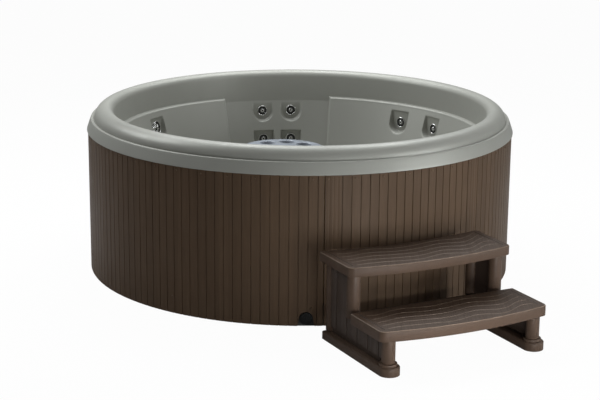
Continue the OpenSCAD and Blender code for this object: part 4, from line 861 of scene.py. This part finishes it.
def makeTread(name, node, width, back, front, backBow, topZ, skirt, posts):
    s = steps
    across = round((front - back) / s["cellIn"])
    straightShare = 1 - steps["cornerRadius"] / (width / 2)
    grooves = [1 - 2 * (s["lineIn"] + off) / width for off in (-3.2, -2.2, -1.2, 0, 1.2, 2.2, 3.2)]
    plain = list(np.linspace(0, straightShare, round(width / 2 * straightShare / s["cellAlong"])))
    plain += list(np.sin(np.linspace(0, np.pi / 2, 13))[1:] * (1 - straightShare) + straightShare)
    half = sorted([v for v in plain if min(abs(v - g) for g in grooves) > 0.002] + grooves)
    along = np.array([-v for v in reversed(half[1:])] + half)
    lines = np.linspace(0, 1, across)

    def loopAt(inset):
        y = along * (width / 2 - inset)
        low = treadSide(y, width, back, backBow, inset, -1)
        high = treadSide(y, width, front, s["bow"], inset, 1)
        return y, low, high

    def rim(inset, z):
        y, low, high = loopAt(inset)
        pts = [(low[i], y[i], z) for i in range(len(y))]
        pts += [(low[-1] + (high[-1] - low[-1]) * v, y[-1], z) for v in lines[1:-1]]
        pts += [(high[i], y[i], z) for i in range(len(y) - 1, -1, -1)]
        pts += [(high[0] + (low[0] - high[0]) * v, y[0], z) for v in lines[1:-1]]
        return pts

    y, low, high = loopAt(s["edge"])
    gridX = low[:, None] + (high - low)[:, None] * lines[None, :]
    gridY = np.repeat(y[:, None], across, axis=1)
    ridge, groove = treadRelief(gridX, gridY, width, back, front, backBow)
    for relief in (ridge, groove):
        relief[0, :] = relief[-1, :] = relief[:, 0] = relief[:, -1] = 0
    gridZ = topZ + ridge * s["grainHeight"] - groove * s["lineDepth"]
    points = [tuple(p) for p in np.stack([gridX, gridY, gridZ], -1).reshape(-1, 3)]
    count = len(y)
    faces = [(i * across + j, i * across + j + 1, (i + 1) * across + j + 1, (i + 1) * across + j)
             for i in range(count - 1) for j in range(across - 1)]
    loop = [i * across for i in range(count)] + [(count - 1) * across + j for j in range(1, across - 1)]
    loop += [i * across + across - 1 for i in range(count - 1, -1, -1)] + list(range(across - 2, 0, -1))
    section = [(s["edge"] * (1 - math.cos(a)), topZ - s["edge"] * (1 - math.sin(a)))
               for a in np.radians((80, 68, 55, 40, 22, 0))]
    section += [(0.0, topZ - skirt + s["foot"]), (s["foot"] * 0.3, topZ - skirt + s["foot"] * 0.3),
                (s["foot"], topZ - skirt)]
    highlightRows = []
    for row, (inset, z) in enumerate(section):
        start = len(points)
        points += rim(inset, z)
        n = len(loop)
        if 1 <= row <= 3:
            highlightRows.append((start, start + n))
        faces += [(loop[k], loop[(k + 1) % n], start + (k + 1) % n, start + k) for k in range(n)]
        loop = list(range(start, start + n))
    # the underside closes on a middle line, strip by strip
    n = len(loop)
    under = len(points)
    spine = along * (width / 2 - s["foot"])
    points += [((back + front) / 2 + (backBow + s["bow"]) / 2 * (1 - (2 * v / width) ** 2), v, topZ - skirt)
               for v in spine]
    for i in range(count - 1):
        faces.append((loop[i], loop[i + 1], under + i + 1, under + i))
        far = n - (across - 2) - 1 - i
        faces.append((loop[far - 1], loop[far], under + i, under + i + 1))
    faces += [(loop[count - 1 + j], loop[count + j], under + count - 1) for j in range(across - 1)]
    faces += [(loop[(n - (across - 2) - 1 + j) % n], loop[(n - (across - 2) + j) % n], under)
              for j in range(across - 1)]
    piece = makePiece(name, points, faces, [stepFinish], stepPlace, 50)
    # ridge and groove shares go into the relief attribute, which stepResin paints as a lighter colour
    # (painted highlight) and a darker colour (painted shade)
    relief = np.zeros(len(points))
    relief[:gridZ.size] = (ridge - groove).reshape(-1)
    # the rows of the rounded top edge take a share of the lighter colour: a painted highlight along the
    # treads' top edges
    for start, stop in highlightRows:
        relief[start:stop] = s["paintedEdgeHighlight"]
    piece.data.attributes.new("relief", "FLOAT", "POINT").data.foreach_set("value", relief)
    outwards(piece)
    # sockets from below for the posts that carry it
    cutters = []
    for depth in posts:
        for side in (-1, 1):
            pts, sides = lathe([(0, topZ - skirt - 2), (s["socket"], topZ - skirt - 2),
                                (s["socket"], topZ - s["socketTop"]), (0, topZ - s["socketTop"])], 48)
            spot = stepPlace @ Matrix.Translation((depth * mm, side * s["postOut"] * mm, 0))
            cutters.append(outwards(makePiece("cutter", pts, sides, [stepFinish], spot)))
    cutWith(piece, joinPieces("socketCutters", cutters))
    finishMesh(piece, 50)
    return standIn(piece, node, slot="resin")


upperTread = dict(width=743, back=0, front=257, backBow=42, topZ=356, skirt=38, posts=(44, 212))
lowerTread = dict(width=753, back=272, front=516, backBow=0, topZ=180, skirt=42, posts=(488,))
makeTread("upperTread", "upper_tread", **upperTread)
makeTread("lowerTread", "lower_tread", **lowerTread)
for name, node, ease in (("leftSidePanel", "left_side_panel", 1.2),
                         ("rightSidePanel", "right_side_panel", 1.2), ("stepPosts", "step_posts", 1.5),
                         ("leftBaseRail", "left_base_rail", 1.5), ("rightBaseRail", "right_base_rail", 1.5),
                         ("backStretcher", "back_stretcher", 1.5)):
    easedCopy(name, node, shadedStepFinish if "Panel" in name or "Stretcher" in name else stepFinish, ease,
              slot="resin")
print("steps made")


# cabinet screws, placed along the rows by a node tree
screws = dict(radius=4.0, proud=2.4, shank=2.2, topZ=622, lowZ=80, doorFrom=6.1)


def screwTemplate():
    s = screws
    outline = [(0.0, -22.0), (s["shank"], -22.0), (s["shank"], 0.0), (s["radius"], 0.0), (s["radius"], 0.9),
               (s["radius"] - 0.8, 1.9), (2.3, s["proud"]), (1.5, s["proud"]), (1.1, 0.7), (0.0, 0.6)]
    pts, sides = lathe(outline, 12)
    return outwards(makePiece("screwTemplate", pts, sides, [screwFinish]))


def screwTree(template):
    tree = bpy.data.node_groups.new("screwRows", "GeometryNodeTree")
    for label, kind, way in (("Geometry", "Geometry", "INPUT"),
                             ("Head Scale", "Float", "INPUT"),
                             ("Stand Off", "Float", "INPUT"),
                             ("Turn Seed", "Int", "INPUT"),
                             ("Finish", "Material", "INPUT"),
                             ("Geometry", "Geometry", "OUTPUT")):
        tree.interface.new_socket(name=label, in_out=way, socket_type="NodeSocket" + kind)
    g = Graph(tree)
    given = tree.nodes.new("NodeGroupInput").outputs
    gives = tree.nodes.new("NodeGroupOutput").inputs
    dots = g.add("GeometryNodeMeshToPoints", {"Mesh": given["Geometry"]}).outputs[0]
    spot = g.add("GeometryNodeInputPosition").outputs[0]
    flat = g.add("ShaderNodeVectorMath", {0: spot, 1: (1, 1, 0)}, operation="MULTIPLY").outputs[0]
    way = g.add("ShaderNodeVectorMath", {0: flat}, operation="NORMALIZE").outputs[0]
    facing = g.add("FunctionNodeAlignRotationToVector", {"Vector": way}, axis="Z").outputs[0]
    chance = g.add("FunctionNodeRandomValue", {"Seed": given["Turn Seed"]}, data_type="FLOAT")
    chance.inputs[2].default_value = 0.0
    chance.inputs[3].default_value = 6.28
    turnEuler = g.add("ShaderNodeCombineXYZ", {"Z": chance.outputs[1]}).outputs[0]
    spun = g.add("FunctionNodeRotateRotation", {"Rotation": facing, "Rotate By": turnEuler},
                 rotation_space="LOCAL").outputs[0]
    source = g.add("GeometryNodeObjectInfo", {"Object": template}).outputs["Geometry"]
    placedScrews = g.add("GeometryNodeInstanceOnPoints", {"Points": dots, "Instance": source,
                                                          "Rotation": spun,
                                                          "Scale": given["Head Scale"]}).outputs[0]
    outward = g.add("ShaderNodeVectorMath", {0: way, "Scale": given["Stand Off"]},
                    operation="SCALE").outputs[0]
    moved = g.add("GeometryNodeTranslateInstances", {"Instances": placedScrews,
                                                     "Translation": outward}).outputs[0]
    moved.node.inputs["Local Space"].default_value = False
    solid = g.add("GeometryNodeRealizeInstances", {0: moved}).outputs[0]
    painted = g.add("GeometryNodeSetMaterial", {"Geometry": solid, "Material": given["Finish"]}).outputs[0]
    tree.links.new(painted, gives["Geometry"])
    return tree


def setInput(modifier, tree, label, value):
    for item in tree.interface.items_tree:
        if item.item_type == "SOCKET" and item.in_out == "INPUT" and item.name == label:
            modifier[item.identifier] = value


def makeScrews():
    panelDeg = (360 - doorTo + screws["doorFrom"]) / 4
    rowsOf = {"panel_screws": [], "door_screws": []}

    def angles(start, stop):
        found, a = [start + 0.36 * slatPitch], start + 3.3 * slatPitch
        while a <= stop - slatPitch / 2:
            found.append(a)
            a += 3 * slatPitch
        return found

    for k in range(4):
        start = doorTo + k * panelDeg
        rowsOf["panel_screws"] += [(a, screws["topZ"]) for a in angles(start, start + panelDeg)]
        rowsOf["panel_screws"] += [(start + a, screws["lowZ"])
                                   for a in (slatPitch * 1.3, panelDeg / 2 + slatPitch * 0.3, panelDeg
                                             - slatPitch * 1.3)]
    rowsOf["door_screws"] = [(a, screws["topZ"]) for a in angles(screws["doorFrom"], doorTo)]
    template = screwTemplate()
    tree = screwTree(template)
    for node, rows in rowsOf.items():
        spots = [(962 * math.sin(math.radians(a)), -962 * math.cos(math.radians(a)), z) for a, z in rows]
        piece = makePiece("panelScrewHeads" if node == "panel_screws" else "doorScrewHeads", spots, [],
                          [screwFinish])
        modifier = piece.modifiers.new("rows", "NODES")
        modifier.node_group = tree
        for label, value in (("Head Scale", 1.0), ("Stand Off", 0.0), ("Turn Seed", 7),
                             ("Finish", screwFinish)):
            setInput(modifier, tree, label, value)
        baked(piece)
        finishMesh(piece, 40)
        standIn(piece, node, slot="screw")
    bpy.data.objects.remove(template)


makeScrews()
print("screws made")


# nodes that keep their CAD shape, or an eased copy of it
for node in ("panel_front", "panel_right", "panel_back_right", "panel_back_left", "access_door"):
    nodes[node].data.materials.clear()
    nodes[node].data.materials.append(slatFinish)

for name, node, finish, ease in (
        ("filterLid", "filter_lid", lidFinish, 0.8), ("filterColumn", "filter_housing", columnFinish, 0.8),
        ("controlPanel", "control_panel", controlFinish, 1.0), ("airValve", "air_valve", coverFinish, 0.6),
        ("airKnob", "air_knob", knobFinish, 0.8), ("drainCap", "drain_cap", blackFinish, 0.5),
        ("controlBox", "control_box", controlFinish, 1.5), ("powerGland", "power_gland", blackFinish, 0.5),
        ("lightLens", "light_lens", lensGlass, 0.5)):
    easedCopy(name, node, finish, ease)

for finish, names in (
        (panFinish, "base_pan"), (timberFinish, "well_cradle frame_posts"), (ringTimberFinish, "top_ring"),
        (foilFinish, "insulation"), (blackFinish, "jet_bodies pump_volute drain_valve"),
        (pipeFinish, "water_manifold jet_risers suction_pipe heater_pipes"),
        (tubeFinish, "air_line drain_hose"), (paperFinish, "filter_cartridge"),
        (coverFinish, "suction_covers"), (motorFinish, "pump_motor"),
        (steelFinish, "pump_rotor heater_tube pack_stand step_screws"),
        (keyFinish, "jets_button light_button warm_button cool_button")):
    for node in names.split():
        nodes[node].data.materials.clear()
        nodes[node].data.materials.append(finish)
print("carried-over nodes finished")


studio = dict(ambient=0.18, floorWhite=0.97, floorPaint=0.75, lampTint=(0.95, 0.98, 1.0))
# place, what it faces, power, width, height, spread
lamps = dict(overhead=((0.1, 1.3, 3.3), (0.0, 0.1, 0.6), 135.0, 3.4, 2.2, 180),
             lowRight=((4.2, -2.3, 1.0), (0.3, -0.3, 0.45), 85.0, 1.6, 1.4, 180),
             upperLeft=((-2.6, 0.4, 2.9), (0.3, 0.2, 0.5), 28.0, 1.8, 1.8, 120),
             lowFront=((0.9, -5.2, 0.9), (0.3, -0.9, 0.35), 8.0, 2.0, 1.0, 180),
             underSteps=((0.95, -2.3, 0.22), (0.42, -0.9, 0.26), 2.6, 0.8, 0.3, 70))


def makeFloor():
    size = 40.0
    mesh = bpy.data.meshes.new("floor")
    mesh.from_pydata([(-size, -size, 0), (size, -size, 0), (size, size, 0), (-size, size, 0)], [],
                     [(0, 1, 2, 3)])
    floor = bpy.data.objects.new("floor", mesh)
    bpy.context.scene.collection.objects.link(floor)
    material = bpy.data.materials.new("floorPaint")
    material.use_nodes = True
    material.node_tree.nodes.clear()
    g = Graph(material.node_tree)
    path = g.add("ShaderNodeLightPath").outputs
    seen = g.math("MAXIMUM", path["Is Camera Ray"], path["Is Transmission Ray"])
    paint = g.add("ShaderNodeBsdfDiffuse", {"Color": (*[studio["floorPaint"]] * 3, 1)}).outputs[0]
    glow = g.add("ShaderNodeEmission", {"Color": (1, 1, 1, 1), "Strength": 1.0}).outputs[0]
    both = g.add("ShaderNodeMixShader", {0: g.math("MULTIPLY", seen, studio["floorWhite"]), 1: paint,
                                         2: glow}).outputs[0]
    g.add("ShaderNodeOutputMaterial", {"Surface": both})
    mesh.materials.append(material)


def makeWorld():
    world = bpy.data.worlds.new("studio")
    bpy.context.scene.world = world
    world.use_nodes = True
    world.node_tree.nodes.clear()
    g = Graph(world.node_tree)
    path = g.add("ShaderNodeLightPath").outputs
    seen = g.math("MAXIMUM", path["Is Camera Ray"], path["Is Transmission Ray"])
    light = g.add("ShaderNodeBackground", {"Color": (1, 1, 1, 1), "Strength": studio["ambient"]}).outputs[0]
    white = g.add("ShaderNodeBackground", {"Color": (1, 1, 1, 1), "Strength": 1.0}).outputs[0]
    both = g.add("ShaderNodeMixShader", {0: seen, 1: light, 2: white}).outputs[0]
    g.add("ShaderNodeOutputWorld", {"Surface": both})


def addLamp(name, place, target, power, width, height, spread):
    lamp = bpy.data.lights.new(name, "AREA")
    lamp.energy = power
    lamp.shape = "RECTANGLE"
    lamp.size = width
    lamp.size_y = height
    lamp.spread = math.radians(spread)
    lamp.color = studio["lampTint"]
    obj = bpy.data.objects.new(name, lamp)
    obj.location = place
    obj.rotation_euler = (Vector(target) - Vector(place)).to_track_quat("-Z", "Y").to_euler()
    bpy.context.scene.collection.objects.link(obj)


view = dict(pitch=0.2568, yaw=0.0005, roll=0.0094, lens=95.23, sensor=36, away=7.114, height=2.152)


def addCamera():
    pitch, yaw, roll = view["pitch"], view["yaw"], view["roll"]
    forward = Vector((math.sin(yaw) * math.cos(pitch), math.cos(yaw) * math.cos(pitch), -math.sin(pitch)))
    right = Vector((math.cos(yaw), -math.sin(yaw), 0))
    up = right.cross(forward)
    across = right * math.cos(roll) + up * math.sin(roll)
    upright = up * math.cos(roll) - right * math.sin(roll)
    data = bpy.data.cameras.new("camera")
    data.lens = view["lens"]
    data.sensor_width = view["sensor"]
    data.clip_end = 200
    camera = bpy.data.objects.new("camera", data)
    camera.matrix_world = Matrix(((across.x, upright.x, -forward.x, 0.0),
                                  (across.y, upright.y, -forward.y, -view["away"]),
                                  (across.z, upright.z, -forward.z, view["height"]), (0, 0, 0, 1)))
    bpy.context.scene.collection.objects.link(camera)
    bpy.context.scene.camera = camera


makeFloor()
makeWorld()
for name, values in lamps.items():
    addLamp(name, *values)
addCamera()
bpy.context.scene.view_settings.view_transform = "Standard"
print("studio made")
